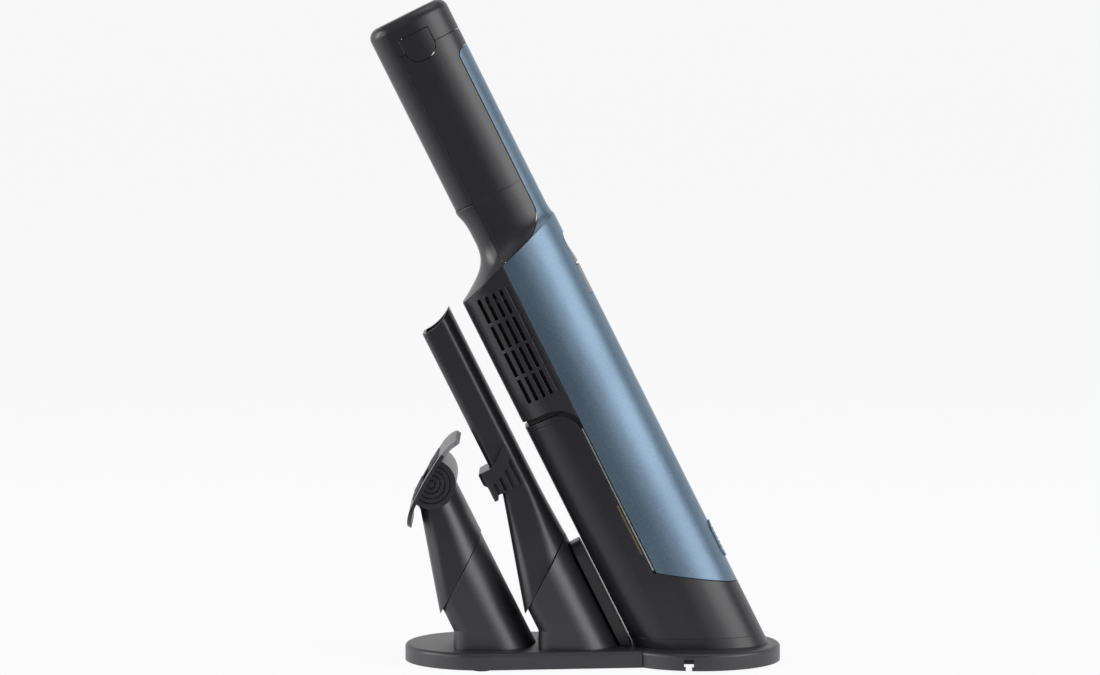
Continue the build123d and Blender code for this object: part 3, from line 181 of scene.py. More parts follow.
class Shape(Graph):
    """A geometry tree with named sizes, turned into one plain mesh on one body."""

    def __init__(self, name, sizes):
        super().__init__(bpy.data.node_groups.new(name, "GeometryNodeTree"))
        face = self.tree.interface
        face.new_socket("Geometry", in_out="OUTPUT", socket_type="NodeSocketGeometry")
        self.keys = {}
        for key, value in sizes.items():
            kind = "NodeSocketInt" if isinstance(value, int) else "NodeSocketFloat"
            self.keys[face.new_socket(key, in_out="INPUT", socket_type=kind).identifier] = value
        self.entry = self.tree.nodes.new("NodeGroupInput")

    def size(self, key):
        return Wire(self, self.entry.outputs[key])

    def vector(self, x, y, z):
        return self.node("ShaderNodeCombineXYZ", None, {0: x, 1: y, 2: z})

    def moved(self, geometry, shift, turn=(0.0, 0.0, 0.0)):
        inputs = {"Geometry": geometry, "Translation": shift, "Rotation": turn}
        return self.node("GeometryNodeTransform", None, inputs)

    def joined(self, pieces):
        return self.node("GeometryNodeJoinGeometry", None, {0: pieces})

    def rod(self, radius, length, sides):
        sizes = {"Vertices": sides, "Radius": radius, "Depth": length}
        return self.node("GeometryNodeMeshCylinder", None, sizes)

    def bar(self, x, y, z):
        return self.node("GeometryNodeMeshCube", None, {"Size": self.vector(x, y, z)})

    def finish(self, geometry, material):
        real = self.node("GeometryNodeRealizeInstances", None, {0: geometry})
        painted = self.node("GeometryNodeSetMaterial", None, {0: real, "Material": material})
        end = self.tree.nodes.new("NodeGroupOutput")
        self.feed(end.inputs[0], painted)
        piece = add_object(self.tree.name, bpy.data.meshes.new(self.tree.name))
        modifier = piece.modifiers.new("Build", "NODES")
        modifier.node_group = self.tree
        for key, value in self.keys.items():
            modifier[key] = value
        bake(piece)
        return piece


def add_object(name, data):
    made = bpy.data.objects.new(name, data)
    bpy.context.scene.collection.objects.link(made)
    return made


def bake(piece):
    """Swap an object's mesh for what its modifiers make, and drop the modifiers."""
    depsgraph = bpy.context.evaluated_depsgraph_get()
    mesh = bpy.data.meshes.new_from_object(piece.evaluated_get(depsgraph), depsgraph=depsgraph)
    if not mesh.polygons:
        raise RuntimeError(piece.name + " came out with no faces")
    piece.modifiers.clear()
    piece.data = mesh
    mesh.name = piece.name


def carry(piece, body, slot, *nodes):
    """Hand a new piece to its body in place of the nodes that it stands for."""
    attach(piece, body)
    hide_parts(*nodes)


def dress(material, *nodes):
    for node in nodes:
        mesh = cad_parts[node].data
        mesh.materials.clear()
        mesh.materials.append(material)


# Settings

def srgb(red, green, blue):
    """Linear colour from 0-255 screen values."""
    parts = []
    for value in (red, green, blue):
        share = value / 255
        parts.append(share / 12.92 if share <= 0.04045 else ((share + 0.055) / 1.055) ** 2.4)
    return tuple(parts)


def colour(name, about, red, green, blue):
    return FloatVectorProperty(name=name, description=about, subtype="COLOR", size=3, min=0.0, max=1.0,
                               default=srgb(red, green, blue))


def factor(name, about, value):
    return FloatProperty(name=name, description=about, subtype="FACTOR", min=0.0, max=1.0, default=value)


def length(name, about, value):
    return FloatProperty(name=name, description=about, subtype="DISTANCE", unit="LENGTH", default=value,
                         precision=5)


def angle(name, about, degrees):
    return FloatProperty(name=name, description=about, subtype="ANGLE", unit="ROTATION",
                         default=radians(degrees))


def power(name, about, watts):
    return FloatProperty(name=name, description=about, subtype="POWER", unit="POWER", min=0.0, default=watts)


def count(name, about, value):
    return IntProperty(name=name, description=about, subtype="UNSIGNED", min=1, default=value)


class VacShellSettings(PropertyGroup):
    blue: colour("Blue", "Colour of the metallic lid", 121, 146, 164)
    blue_deep: colour("Deep Blue", "Colour between the flakes of the lid", 75, 92, 114)
    flake: length("Flake", "Size of one metal flake in the lid's paint", 0.35 * MM)
    blue_rough: factor("Lid Roughness", "Roughness of the lid", 0.42)
    charcoal: colour("Charcoal", "Colour of the handle, vents and end cap", 37, 36, 40)
    charcoal_rough: factor("Charcoal Roughness", "Roughness of the charcoal plastic", 0.36)
    cup: colour("Cup", "Colour of the dust cup", 36, 35, 39)
    cup_rough: factor("Cup Roughness", "Roughness of the dust cup", 0.34)
    button: colour("Button", "Colour of the two buttons", 140, 135, 136)
    button_rough: factor("Button Roughness", "Roughness of the buttons", 0.46)
    # Window colours: partly the window's own tint, partly painted light for the glow through the cup's thin
    # edge.
    window: colour("Window", "Colour of the fill windows", 98, 84, 66)
    window_glow_haze: colour("Window Haze", "Colour of the haze in the fill windows", 104, 92, 76)
    rail: colour("Rail", "Colour of the slide rails", 226, 228, 230)
    rail_rough: factor("Rail Roughness", "Roughness of the slide rails", 0.22)
    edge: length("Edge", "Radius of the softened edges", 0.45 * MM)


class VacToolSettings(PropertyGroup):
    tool: colour("Tool", "Colour of the two tools", 43, 42, 46)
    tool_rough: factor("Tool Roughness", "Roughness of the tools", 0.35)
    lip: colour("Lip", "Colour of the soft lip", 150, 150, 152)
    lint: colour("Lint Rubber", "Colour of the lint strips", 96, 96, 100)
    rib_count: count("Ribs", "Lint ribs in one strip", 8)
    rib_pitch: length("Rib Pitch", "Distance between lint ribs", 1.25 * MM)
    rib_radius: length("Rib Radius", "Radius of one lint rib", 0.38 * MM)
    rib_length: length("Rib Length", "Length of one lint rib", 45.4 * MM)
    rib_sheet: length("Rib Sheet", "Thickness of the sheet under the ribs", 0.4 * MM)
    mouth: length("Mouth", "Half of the suction mouth's width", 4.5 * MM)
    bow: length("Bow", "Radius of the plate's bowed face", 202.2 * MM)
    bow_centre: length("Bow Centre", "Height of the bow's centre over the head's axis", -198.0 * MM)
    head_x: length("Head X", "Place of the head's axis along the row", -155.195 * MM)
    head_z: length("Head Z", "Height of the head's axis over the table", 107.143 * MM)
    head_tilt: angle("Head Tilt", "Turn of the head against its neck", 34.0)
    edge: length("Edge", "Radius of the softened edges", 0.4 * MM)


class VacDockSettings(PropertyGroup):
    dock: colour("Dock", "Colour of the charging base and the posts", 44, 43, 47)
    dock_rough: factor("Dock Roughness", "Roughness of the dock", 0.4)
    rubber: colour("Rubber", "Colour of the feet, flap and seals", 34, 34, 36)
    screw: colour("Screw", "Colour of the base screws", 150, 152, 156)
    screw_rough: factor("Screw Roughness", "Roughness of the base screws", 0.3)
    edge: length("Edge", "Radius of the softened edges", 0.5 * MM)
    head_radius: length("Head Radius", "Radius of a base screw's head", 2.8 * MM)
    head_height: length("Head Height", "Height of a base screw's head", 1.2 * MM)
    shank_radius: length("Shank Radius", "Radius of a base screw's shank", 1.4 * MM)
    screw_length: length("Screw Length", "Whole length of a base screw", 5.7 * MM)
    slot_width: length("Slot Width", "Width of the cross recess", 0.8 * MM)
    slot_depth: length("Slot Depth", "Depth of the cross recess", 0.7 * MM)
    ring_radius: length("Screw Ring", "Radius of the screw circles", 30.0 * MM)
    dock_turn: angle("Dock Turn", "Turn of the charging base's screws", 50.0)
    tray_turn: angle("Tray Turn", "Turn of the accessory base's screws", 45.0)
    tray_x: length("Tray Centre", "Place of the accessory base's screw circle", -126.0 * MM)
    screw_low: length("Screw Low", "Height of the screw heads over the table", 0.8 * MM)
    dock_screws: count("Dock Screws", "Screws in the charging base", 3)
    tray_screws: count("Tray Screws", "Screws in the accessory base", 4)


class VacWorksSettings(PropertyGroup):
    steel: colour("Steel", "Colour of the motor, shaft and screws", 168, 170, 174)
    brass: colour("Brass", "Colour of the contacts", 206, 170, 98)
    wrap: colour("Cell Wrap", "Colour of the battery cells' sleeve", 52, 108, 118)
    paper: colour("Paper", "Colour of the pleated filter", 214, 210, 200)
    board: colour("Board", "Colour of the circuit boards", 20, 74, 48)
    track: colour("Track", "Colour of the tracks under the boards' lacquer", 44, 112, 66)
    weave: colour("Weave", "Colour of the boards' dark weave", 12, 48, 34)
    inner: colour("Inner Plastic", "Colour of the plastic inside", 40, 40, 42)
    inner_rough: factor("Inner Roughness", "Roughness of the plastic inside", 0.55)
    inner_edge: length("Inner Edge", "Radius of the inner pieces' softened edges", 0.3 * MM)
    # Foam colours: both painted dark as the shade inside the vent slots; the pores are darker still, as
    # painted shade in their hollows.
    foam_pit_shade: colour("Foam Pit", "Colour in the foam's pores", 9, 9, 10)
    foam_strut: colour("Foam Strut", "Colour between the foam's pores", 32, 32, 34)
    wire_radius: length("Wire Radius", "Radius of the filter screen's wires", 0.2 * MM)
    wires: count("Wires", "Wires round the filter screen", 72)
    hoops: count("Hoops", "Rings along the filter screen", 46)
    screen_radius: length("Screen Radius", "Radius of the filter screen", 19.0 * MM)
    screen_length: length("Screen Length", "Length of the filter screen", 37.4 * MM)
    pore: length("Pore", "Size of the foam's pores", 0.9 * MM)
    pore_deep: length("Pore Depth", "Depth of the foam's pores", 0.25 * MM)
    voxel: length("Foam Mesh", "Mesh size of the foam", 0.6 * MM)


class VacStudioSettings(PropertyGroup):
    distance: length("Distance", "Camera's distance from its target", 2.8)
    elevation: angle("Elevation", "Camera's height angle", 5.2)
    lens: FloatProperty(name="Lens", description="Focal length in millimetres", subtype="DISTANCE_CAMERA",
                        unit="CAMERA", default=157.9)
    target_x: length("Target X", "Camera's target across the picture", -86.6 * MM)
    target_z: length("Target Z", "Camera's target above the table", 188.9 * MM)
    key: power("Key", "Power of the large light at the right", 26.0)
    strip: power("Strip", "Power of the tall light at the front left", 8.5)
    fill: power("Fill", "Power of the tall light at the front right", 5.0)
    left: power("Left", "Power of the large light at the left", 26.0)
    top: power("Top", "Power of the light above", 7.0)
    ambient: factor("Ambient", "Brightness of the surroundings", 0.2)
    shadow: factor("Shadow", "Share of the floor that keeps the shadow", 0.08)
    floor_front: factor("Front Floor", "Grey of the floor in front of the object", 0.2)
    floor_back: factor("Back Floor", "Grey of the floor behind the object", 0.9)
    fade: length("Fade", "Depth over which the floor changes its grey", 0.5)
    sweep_half: length("Sweep Half", "Half of the sweep's width, and its reach in front", 25.0)
    bend_y: length("Bend", "Where the sweep starts to rise", 8.0)
    bend_radius: length("Bend Radius", "Radius of the sweep's bend", 1.5)
    wall_top: length("Wall Top", "Height of the sweep's wall", 9.0)
    floor_gap: length("Floor Gap", "Room between the floor and the feet", 0.05 * MM)


# Paints

def plastic(name, tint, rough, edge, constants=None, fine=2600.0, depth=0.02 * MM):
    """Moulded plastic: fine spark-eroded grain, slow drift of tone, and edges painted a little brighter as a
    painted highlight.
    """
    drift_share, edge_highlight_share, edge_highlight_tone = 0.12, 0.9, 1.9
    grain_spread, drift_spread = 0.12, 0.06
    paint = Paint(name, {"Specular IOR Level": 0.65, **(constants or {})})
    tint = Vector(tint)
    grain = paint.grain(scale=fine, detail=3.0)
    drift = paint.grain(scale=22.0, detail=3.0)
    rounding = paint.rounded_edges(edge)
    edge_highlight = paint.edge_share(rounding)
    base = paint.mix(drift, tint * (1.0 - drift_share), tint * (1.0 + drift_share))
    # Painted highlight: the base colour turns brighter along the edges.
    paint.set("Base Color", paint.mix(edge_highlight * edge_highlight_share, base, tint * edge_highlight_tone))
    paint.set("Roughness", rough + (grain - 0.5) * grain_spread + (drift - 0.5) * drift_spread)
    paint.bump(grain, depth, rounding)
    return paint.material


def metal_paint(name, tint, deep, rough, flake, edge):
    """Metallic lacquer: flakes of uneven brightness under a thin coat."""
    flake_share, flake_spread = 0.55, 0.1
    paint = Paint(name, {"Metallic": 0.76, "Coat Weight": 0.25, "Coat Roughness": 0.25})
    flakes = paint.cells(scale=1.0 / flake, output="Color")
    drift = paint.grain(scale=14.0)
    rounding = paint.rounded_edges(edge)
    paint.set("Base Color", paint.mix(flakes * flake_share + drift * (1.0 - flake_share), deep, tint))
    paint.set("Roughness", rough + (flakes - 0.5) * flake_spread)
    paint.bump(flakes, depth=0.004 * MM, rounding=rounding)
    return paint.material


def brushed(name, tint, rough, stretch=(1.0, 1.0, 1.0)):
    """Metal with fine lines, drawn out along one axis where asked, and a few cloudy marks."""
    cloud_share, dark_tone = 0.6, 0.75
    line_spread, cloud_spread = 0.14, 0.08
    paint = Paint(name, {"Metallic": 1.0})
    lines = paint.grain(scale=300.0, detail=3.0, place=paint.stretched(*stretch))
    cloud = paint.grain(scale=60.0, detail=4.0)
    marks = cloud * cloud_share + lines * (1.0 - cloud_share)
    paint.set("Base Color", paint.mix(marks, Vector(tint) * dark_tone, tint))
    paint.set("Roughness", rough + lines * line_spread + cloud * cloud_spread)
    paint.bump(lines, depth=0.008 * MM, rounding=paint.rounded_edges(radius=0.2 * MM))
    return paint.material


def rubber(name, tint):
    """Dull rubber with a powdery bloom."""
    rough, spread = 0.72, 0.12
    bloom_share, bloom_tone = 0.5, 1.8
    paint = Paint(name, {"Specular IOR Level": 0.35})
    bloom = paint.grain(scale=160.0, detail=5.0)
    speck = paint.cells(scale=1500.0)
    paint.set("Base Color", paint.mix(bloom * bloom_share, tint, Vector(tint) * bloom_tone))
    paint.set("Roughness", rough + bloom * spread)
    paint.bump(speck, depth=0.02 * MM, rounding=paint.rounded_edges(radius=0.3 * MM))
    return paint.material


def soft_lip(name, tint):
    """Thin, slightly clear flexible edge."""
    dark_tone, light_tone = 0.82, 1.2
    rough, spread = 0.42, 0.16
    paint = Paint(name, {"Transmission Weight": 0.25, "IOR": 1.42})
    haze = paint.grain(scale=90.0, detail=4.0)
    paint.set("Base Color", paint.mix(haze, Vector(tint) * dark_tone, Vector(tint) * light_tone))
    paint.set("Roughness", rough + haze * spread)
    paint.bump(haze, depth=0.05 * MM, rounding=paint.rounded_edges(radius=0.5 * MM))
    return paint.material


def window(name, tint, hazy):
    """Warm smoky window, a little hazy; its amber is partly the window's tint and partly painted light, the
    glow of light through the cup's thin edge.
    """
    haze_share = 0.4
    rough, spread = 0.24, 0.12
    paint = Paint(name, {"Coat Weight": 0.5, "Coat Roughness": 0.08})
    haze = paint.grain(scale=120.0, detail=3.0)
    paint.set("Base Color", paint.mix(haze * haze_share, tint, hazy))
    paint.set("Roughness", rough + haze * spread)
    return paint.material


def paper(name, tint):
    """Pressed filter paper with loose fibres."""
    fibre_share, stain_share, stain_tone = 0.5, 0.3, 0.6
    rough, spread = 0.85, 0.1
    paint = Paint(name)
    fibre = paint.grain(scale=700.0, detail=5.0, place=paint.stretched(1.0, 0.3, 1.0))
    stain = paint.grain(scale=40.0, detail=4.0)
    marks = fibre * fibre_share + stain * stain_share
    paint.set("Base Color", paint.mix(marks, tint, Vector(tint) * stain_tone))
    paint.set("Roughness", rough + fibre * spread)
    paint.bump(fibre, depth=0.06 * MM)
    return paint.material


def board(name, tint, track, deep):
    """Circuit board with raised tracks under the lacquer."""
    track_level, weave_share = 0.42, 0.3
    rough, spread = 0.35, 0.12
    paint = Paint(name, {"Coat Weight": 0.4, "Coat Roughness": 0.12})
    tracks = paint.cells(scale=420.0).above(track_level)
    weave = paint.grain(scale=900.0)
    base = paint.mix(tracks, tint, track)
    paint.set("Base Color", paint.mix(weave * weave_share, base, deep))
    paint.set("Roughness", rough + weave * spread)
    paint.bump(tracks, depth=0.03 * MM)
    return paint.material


def cell_wrap(name, tint):
    """Shrink sleeve: glossy, with ripples where it drew tight."""
    dark_tone, light_tone = 0.8, 1.2
    rough, spread = 0.3, 0.15
    paint = Paint(name, {"Coat Weight": 0.35, "Coat Roughness": 0.1})
    ripple = paint.grain(scale=80.0, detail=4.0, place=paint.stretched(1.0, 2.5, 1.0))
    paint.set("Base Color", paint.mix(ripple, Vector(tint) * dark_tone, Vector(tint) * light_tone))
    paint.set("Roughness", rough + ripple * spread)
    paint.bump(ripple, depth=0.1 * MM, rounding=paint.rounded_edges(radius=0.6 * MM))
    return paint.material


def foam(name, pore, pit, strut):
    """Open foam: pores painted dark as shade in their hollows, between paler struts; both tones are kept dark
    as painted shade inside the vent slots.
    """
    tone_share = 0.2
    rough, spread = 0.88, 0.1
    paint = Paint(name)
    cells = paint.cells(scale=1.0 / pore)
    tone = paint.grain(scale=50.0, detail=3.0)
    # Painted shade: the pores take the dark pit colour.
    paint.set("Base Color", paint.mix(cells + tone * tone_share, pit, strut))
    paint.set("Roughness", rough + tone * spread)
    paint.bump(cells, depth=0.3 * MM)
    return paint.material


# Pieces

class VAC_OT_shells(Operator):
    """Paint the lid, the handle, the vents, the buttons, and the cup with its windows and rails"""
    bl_idname = "vac.shells"
    bl_label = "Finish Shells"

    def execute(self, context):
        look = context.scene.vac_shell
        lid = metal_paint("Blue lacquer", look.blue, look.blue_deep, look.blue_rough, look.flake, look.edge)
        dress(lid, "top_shell", "cup_latch")
        charcoal = plastic("Charcoal plastic", look.charcoal, look.charcoal_rough, look.edge)
        dress(charcoal, "handle_shell", "vent_housing", "neck_cover", "battery_case", "release_tab_front",
              "release_tab_rear")
        cup = plastic("Cup plastic", look.cup, look.cup_rough, look.edge, {"Specular IOR Level": 0.5},
                      fine=3200.0, depth=0.01 * MM)
        dress(cup, "dust_cup", "nozzle_rim")
        button = plastic("Button plastic", look.button, look.button_rough, look.edge)
        dress(button, "power_button", "boost_button")
        # The fill windows' amber is partly painted light, the glow through the cup's thin edge.
        dress(window("Fill window", look.window, look.window_glow_haze), "fill_windows")
        rail = brushed("Rail aluminium", look.rail, look.rail_rough, stretch=(1.0, 40.0, 1.0))
        dress(rail, "slide_rails")
        return {"FINISHED"}


class VAC_OT_tools(Operator):
    """Paint the two tools, their thumb slide and the soft lip"""
    bl_idname = "vac.tools"
    bl_label = "Finish Tools"

    def execute(self, context):
        look = context.scene.vac_tool
        tool = plastic("Tool plastic", look.tool, look.tool_rough, look.edge)
        dress(tool, "crevice_body", "upholstery_body", "brush_carriage")
        dress(soft_lip("Soft lip", look.lip), "lip_blade")
        return {"FINISHED"}


class VAC_OT_lint_ribs(Operator):
    """Build the ribbed lint strips beside the tool's mouth"""
    bl_idname = "vac.lint_ribs"
    bl_label = "Build Lint Ribs"

    def execute(self, context):
        look = context.scene.vac_tool
        sizes = {"Ribs": look.rib_count, "Pitch": look.rib_pitch, "Rib Radius": look.rib_radius,
                 "Length": look.rib_length, "Mouth": look.mouth, "Bow": look.bow,
                 "Bow Centre": look.bow_centre, "Sheet": look.rib_sheet}
        lap = 1.02
        shape = Shape("lint_ribs", sizes)
        pitch, bow, long = shape.size("Pitch"), shape.size("Bow"), shape.size("Length")
        thick = shape.size("Sheet")
        rib = shape.moved(shape.rod(shape.size("Rib Radius"), long, sides=12), (0.0, 0.0, 0.0),
                          (pi / 2, 0.0, 0.0))
        rib = shape.moved(rib, shape.vector(0.0, 0.0, thick))
        sheet = shape.moved(shape.bar(pitch * lap, long, thick), shape.vector(0.0, 0.0, thick * 0.5))
        element = shape.joined([rib, sheet])
        strips = []
        for side in (-1.0, 1.0):
            line = shape.node("GeometryNodeMeshLine", None, {"Count": shape.size("Ribs")})
            x = (shape.size("Mouth") + pitch * (shape.node("GeometryNodeInputIndex") + 0.5)) * side
            z = (bow * bow - x * x) ** 0.5 + shape.size("Bow Centre")
            spread = shape.node("GeometryNodeSetPosition", None,
                                {"Geometry": line, "Position": shape.vector(x, 0.0, z)})
            turn = shape.vector(0.0, x / bow, 0.0)
            strips.append(shape.node("GeometryNodeInstanceOnPoints", None,
                                     {"Points": spread, "Instance": element, "Rotation": turn}))
        ribs = shape.moved(shape.joined(strips), (look.head_x, 0.0, look.head_z),
                           (0.0, -LEAN - look.head_tilt, 0.0))
        ribs = shape.finish(ribs, rubber("Lint rubber", look.lint))
        carry(ribs, "upholstery_tool", "rubber", "lint_pads")
        return {"FINISHED"}


class VAC_OT_dock(Operator):
    """Paint the charging base, the accessory base, the posts and everything of black rubber"""
    bl_idname = "vac.dock"
    bl_label = "Finish Dock"

    def execute(self, context):
        look = context.scene.vac_dock
        dock = plastic("Dock plastic", look.dock, look.dock_rough, look.edge, fine=1800.0,
                       depth=0.03 * MM)
        dress(dock, "charging_base", "charging_base_bottom", "accessory_base", "accessory_base_bottom",
              "docking_spigot", "wand_rest", "crevice_post", "upholstery_post")
        dress(rubber("Black rubber", look.rubber), "rubber_feet", "inlet_flap", "cup_seal", "motor_mounts")
        return {"FINISHED"}


class VAC_OT_screws(Operator):
    """Build the base screws with their cross recesses"""
    bl_idname = "vac.screws"
    bl_label = "Build Base Screws"

    def execute(self, context):
        look = context.scene.vac_dock
        sizes = {"Head Radius": look.head_radius, "Head Height": look.head_height,
                 "Shank Radius": look.shank_radius, "Length": look.screw_length,
                 "Slot Width": look.slot_width, "Slot Depth": look.slot_depth,
                 "Ring Radius": look.ring_radius, "Tray X": look.tray_x, "Low": look.screw_low,
                 "Dock Turn": look.dock_turn, "Tray Turn": look.tray_turn,
                 "Dock Screws": look.dock_screws, "Tray Screws": look.tray_screws}
        cross_share = 1.3
        shape = Shape("base_screw_heads", sizes)
        head_r, head_h = shape.size("Head Radius"), shape.size("Head Height")
        head = shape.moved(shape.rod(head_r, head_h, sides=32), shape.vector(0.0, 0.0, head_h * 0.5))
        long, wide, deep = head_r * cross_share, shape.size("Slot Width"), shape.size("Slot Depth") * 2.0
        cut = {"Mesh 1": head, "Mesh 2": [shape.bar(long, wide, deep), shape.bar(wide, long, deep)]}
        head = shape.node("GeometryNodeMeshBoolean", {"operation": "DIFFERENCE"}, cut)
        stem = shape.size("Length") - head_h
        shank = shape.moved(shape.rod(shape.size("Shank Radius"), stem, sides=20),
                            shape.vector(0.0, 0.0, head_h + stem * 0.5))
        screw = shape.joined([head, shank])
        rings = []
        for side, x in (("Dock", 0.0), ("Tray", shape.size("Tray X"))):
            ring = shape.node("GeometryNodeMeshCircle", None,
                              {"Vertices": shape.size(side + " Screws"), "Radius": shape.size("Ring Radius")})
            ring = shape.moved(ring, shape.vector(x, 0.0, shape.size("Low")),
                               shape.vector(0.0, 0.0, shape.size(side + " Turn")))
            rings.append(shape.node("GeometryNodeInstanceOnPoints", None,
                                    {"Points": ring, "Instance": screw}))
        steel = brushed("Screw steel", look.screw, look.screw_rough)
        carry(shape.finish(shape.joined(rings), steel), "dock", "steel", "base_screws")
        return {"FINISHED"}


class VAC_OT_works(Operator):
    """Paint the motor, the boards, the battery and the other inner pieces"""
    bl_idname = "vac.works"
    bl_label = "Finish Works"

    def execute(self, context):
        look = context.scene.vac_works
        steel = brushed("Motor steel", look.steel, rough=0.28, stretch=(1.0, 30.0, 1.0))
        dress(steel, "motor_can", "motor_shaft", "motor_bearings", "flap_pin", "shell_screws")
        brass = brushed("Contact brass", look.brass, rough=0.25, stretch=(20.0, 1.0, 1.0))
        dress(brass, "charge_pins", "charge_pads", "battery_contacts", "socket_blades")
        green = board("Circuit board", look.board, look.track, look.weave)
        dress(green, "battery_board", "control_board", "dock_board")
        dress(cell_wrap("Cell sleeve", look.wrap), "battery_cells")
        dress(paper("Filter paper", look.paper), "pleated_filter")
        inner = plastic("Inner plastic", look.inner, look.inner_rough, look.inner_edge)
        dress(inner, "core_frame", "battery_socket", "cell_holders", "filter_frame", "inlet_duct",
              "push_switches", "dc_jack", "impeller")
        return {"FINISHED"}


class VAC_OT_screen(Operator):
    """Weave the wire screen round the pleated filter"""
    bl_idname = "vac.screen"
    bl_label = "Weave Filter Screen"

    def execute(self, context):
        look = context.scene.vac_works
        low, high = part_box("filter_screen")
        middle = (low + high) / 2
        sizes = {"Wires": look.wires, "Hoops": look.hoops, "Radius": look.screen_radius,
                 "Length": look.screen_length, "Wire Radius": look.wire_radius}
        shape = Shape("filter_mesh", sizes)
        net = shape.node("GeometryNodeMeshCylinder", {"fill_type": "NONE"},
                         {"Vertices": shape.size("Wires"), "Side Segments": shape.size("Hoops"),
                          "Radius": shape.size("Radius"), "Depth": shape.size("Length")})
        lines = shape.node("GeometryNodeMeshToCurve", None, {0: net})
        ring = shape.node("GeometryNodeCurvePrimitiveCircle", None,
                          {"Resolution": 4, "Radius": shape.size("Wire Radius")})
        wires = shape.node("GeometryNodeCurveToMesh", None, {"Curve": lines, "Profile Curve": ring})
        steel = brushed("Screen steel", look.steel, rough=0.3)
        screen = shape.finish(shape.moved(wires, middle, (0.0, -LEAN, 0.0)), steel)
        carry(screen, "main_body", "steel", "filter_screen")
        return {"FINISHED"}


class VAC_OT_foam(Operator):
    """Roughen the exhaust foam behind the vents into open pores"""
    bl_idname = "vac.foam"
    bl_label = "Build Exhaust Foam"

    def execute(self, context):
        look = context.scene.vac_works
        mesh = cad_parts["exhaust_foam"].data.copy()
        work = bmesh.new()
        work.from_mesh(mesh)
        bmesh.ops.remove_doubles(work, verts=work.verts, dist=0.001 * MM)
        work.to_mesh(mesh)
        work.free()
        sheets = add_object("foam_sheets", mesh)
        remesh = sheets.modifiers.new("Fine mesh", "REMESH")
        remesh.mode = "VOXEL"
        remesh.voxel_size = look.voxel
        bake(sheets)
        for vertex in sheets.data.vertices:
            pit = noise.cell(vertex.co / look.pore)
            vertex.co -= vertex.normal * (look.pore_deep * pit)
        sheets.data.materials.clear()
        sheets.data.materials.append(foam("Exhaust foam", look.pore, look.foam_pit_shade, look.foam_strut))
        carry(sheets, "main_body", "foam", "exhaust_foam")
        return {"FINISHED"}


# Studio

# Place from the camera's target, width and height of each light, in metres
LAMPS = {
    "Key": ((1.8, -0.78, 0.7), 1.5, 1.5),
    "Strip": ((-1.5, -1.2, 0.15), 0.5, 1.6),
    "Fill": ((1.15, -1.75, 0.5), 0.9, 1.6),
    "Left": ((-1.9, -0.2, 0.3), 0.9, 1.7),
    "Top": ((0.1, 0.1, 1.9), 1.4, 1.4),
}
SKY = (0.95, 0.97, 1.0, 1.0)
SENSOR_MM = 36.0
BEND_STEPS = 12


def lamp(name, place, target, wide, tall, watts):
    light = bpy.data.lights.new(name, "AREA")
    light.shape = "RECTANGLE"
    light.size = wide
    light.size_y = tall
    light.energy = watts
    made = add_object(name, light)
    made.location = place
    made.rotation_euler = (target - place).to_track_quat("-Z", "Y").to_euler()


def sweep_paint(look):
    """White for what the camera, gloss and glass see; a share stays plain and keeps the shadow.

    In gloss and glass the white fades out in front of the object, where the plain floor is darker too.
    """
    paint = Paint("White sweep")
    rays = paint.tree.nodes.new("ShaderNodeLightPath")
    mirrored = Wire(paint, rays.outputs["Is Glossy Ray"])
    mirrored = mirrored.larger(Wire(paint, rays.outputs["Is Transmission Ray"]))
    depths = {"Value": paint.axis("Y"), "From Min": -look.fade, "From Max": 0.0}
    behind = paint.node("ShaderNodeMapRange", None, depths)
    tone = paint.mix(behind, (look.floor_front,) * 3, (look.floor_back,) * 3)
    seen = (mirrored * behind).larger(Wire(paint, rays.outputs["Is Camera Ray"]))
    plain = paint.node("ShaderNodeBsdfDiffuse", None, {"Color": tone})
    glow = paint.node("ShaderNodeEmission", None, {"Color": (1.0, 1.0, 1.0), "Strength": 1.0})
    mixed = paint.node("ShaderNodeMixShader", None, {0: seen * (1.0 - look.shadow), 1: plain, 2: glow})
    paint.feed(paint.tree.nodes["Material Output"].inputs["Surface"], mixed)
    return paint.material


def sweep_mesh(look):
    """Floor that bends up into a wall behind the object."""
    profile = [(-look.sweep_half, 0.0), (look.bend_y, 0.0)]
    for step in range(1, BEND_STEPS + 1):
        turn = step * pi / 2 / BEND_STEPS
        profile.append((look.bend_y + look.bend_radius * sin(turn), look.bend_radius * (1.0 - cos(turn))))
    profile.append((look.bend_y + look.bend_radius, look.wall_top))
    work = bmesh.new()
    rows = [[work.verts.new((x, y, z - look.floor_gap)) for y, z in profile]
            for x in (-look.sweep_half, look.sweep_half)]
    for step in range(len(profile) - 1):
        work.faces.new((rows[0][step], rows[0][step + 1], rows[1][step + 1], rows[1][step]))
    work.normal_update()
    mesh = bpy.data.meshes.new("sweep")
    work.to_mesh(mesh)
    work.free()
    return mesh


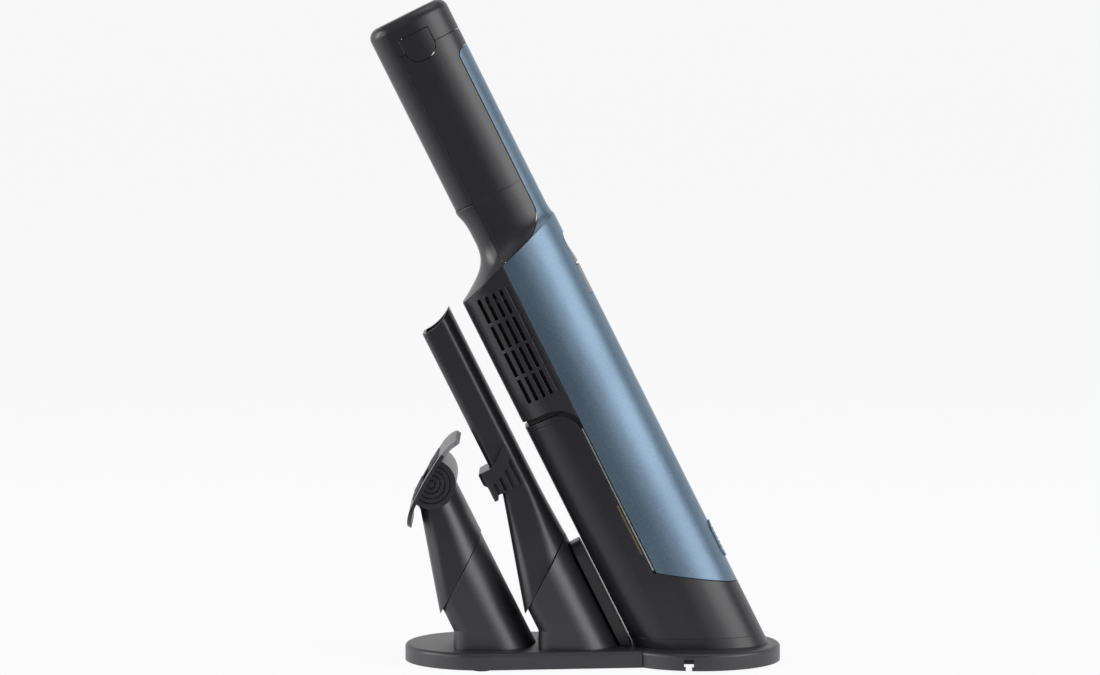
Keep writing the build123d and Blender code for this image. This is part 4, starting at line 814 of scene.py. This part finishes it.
class VAC_OT_studio(Operator):
    """Set the white sweep, the soft lights and the camera"""
    bl_idname = "vac.studio"
    bl_label = "Set Studio"

    def execute(self, context):
        look = context.scene.vac_studio
        scene = context.scene
        scene.view_settings.view_transform = "Standard"
        sweep = add_object("sweep", sweep_mesh(look))
        sweep.data.materials.append(sweep_paint(look))
        world = bpy.data.worlds.new("Studio")
        world.use_nodes = True
        background = world.node_tree.nodes["Background"]
        background.inputs["Color"].default_value = SKY
        background.inputs["Strength"].default_value = look.ambient
        scene.world = world
        target = Vector((look.target_x, 0.0, look.target_z))
        for name, (place, wide, tall) in LAMPS.items():
            lamp(name, target + Vector(place), target, wide, tall, getattr(look, name.lower()))
        lens = bpy.data.cameras.new("Camera")
        lens.lens = look.lens
        lens.sensor_width = SENSOR_MM
        camera = add_object("Camera", lens)
        away = Vector((0.0, -cos(look.elevation), sin(look.elevation)))
        camera.location = target + away * look.distance
        camera.rotation_euler = Euler((pi / 2 - look.elevation, 0.0, 0.0))
        scene.camera = camera
        return {"FINISHED"}


# Add-on

SETTINGS = {
    "vac_shell": VacShellSettings,
    "vac_tool": VacToolSettings,
    "vac_dock": VacDockSettings,
    "vac_works": VacWorksSettings,
    "vac_studio": VacStudioSettings,
}
OPERATORS = (VAC_OT_shells, VAC_OT_tools, VAC_OT_lint_ribs, VAC_OT_dock, VAC_OT_screws, VAC_OT_works,
             VAC_OT_screen, VAC_OT_foam, VAC_OT_studio)


class VAC_PT_panel(Panel):
    """Lists the steps and their settings"""
    bl_idname = "VAC_PT_panel"
    bl_label = "Vacuum"
    bl_space_type = "VIEW_3D"
    bl_region_type = "UI"
    bl_category = "Vacuum"

    def draw(self, context):
        for operator in OPERATORS:
            self.layout.operator(operator.bl_idname)
        for key, group in SETTINGS.items():
            box = self.layout.box()
            for name in group.__annotations__:
                box.prop(getattr(context.scene, key), name)


def register():
    for group in (*SETTINGS.values(), *OPERATORS, VAC_PT_panel):
        bpy.utils.register_class(group)
    for key, group in SETTINGS.items():
        setattr(bpy.types.Scene, key, PointerProperty(type=group))


def unregister():
    for key in SETTINGS:
        delattr(bpy.types.Scene, key)
    for group in (VAC_PT_panel, *reversed(OPERATORS), *SETTINGS.values()):
        bpy.utils.unregister_class(group)


def main():
    register()
    bpy.ops.vac.shells()
    bpy.ops.vac.tools()
    bpy.ops.vac.lint_ribs()
    bpy.ops.vac.dock()
    bpy.ops.vac.screws()
    bpy.ops.vac.works()
    bpy.ops.vac.screen()
    bpy.ops.vac.foam()
    bpy.ops.vac.studio()


if __name__ == "__main__":
    main()
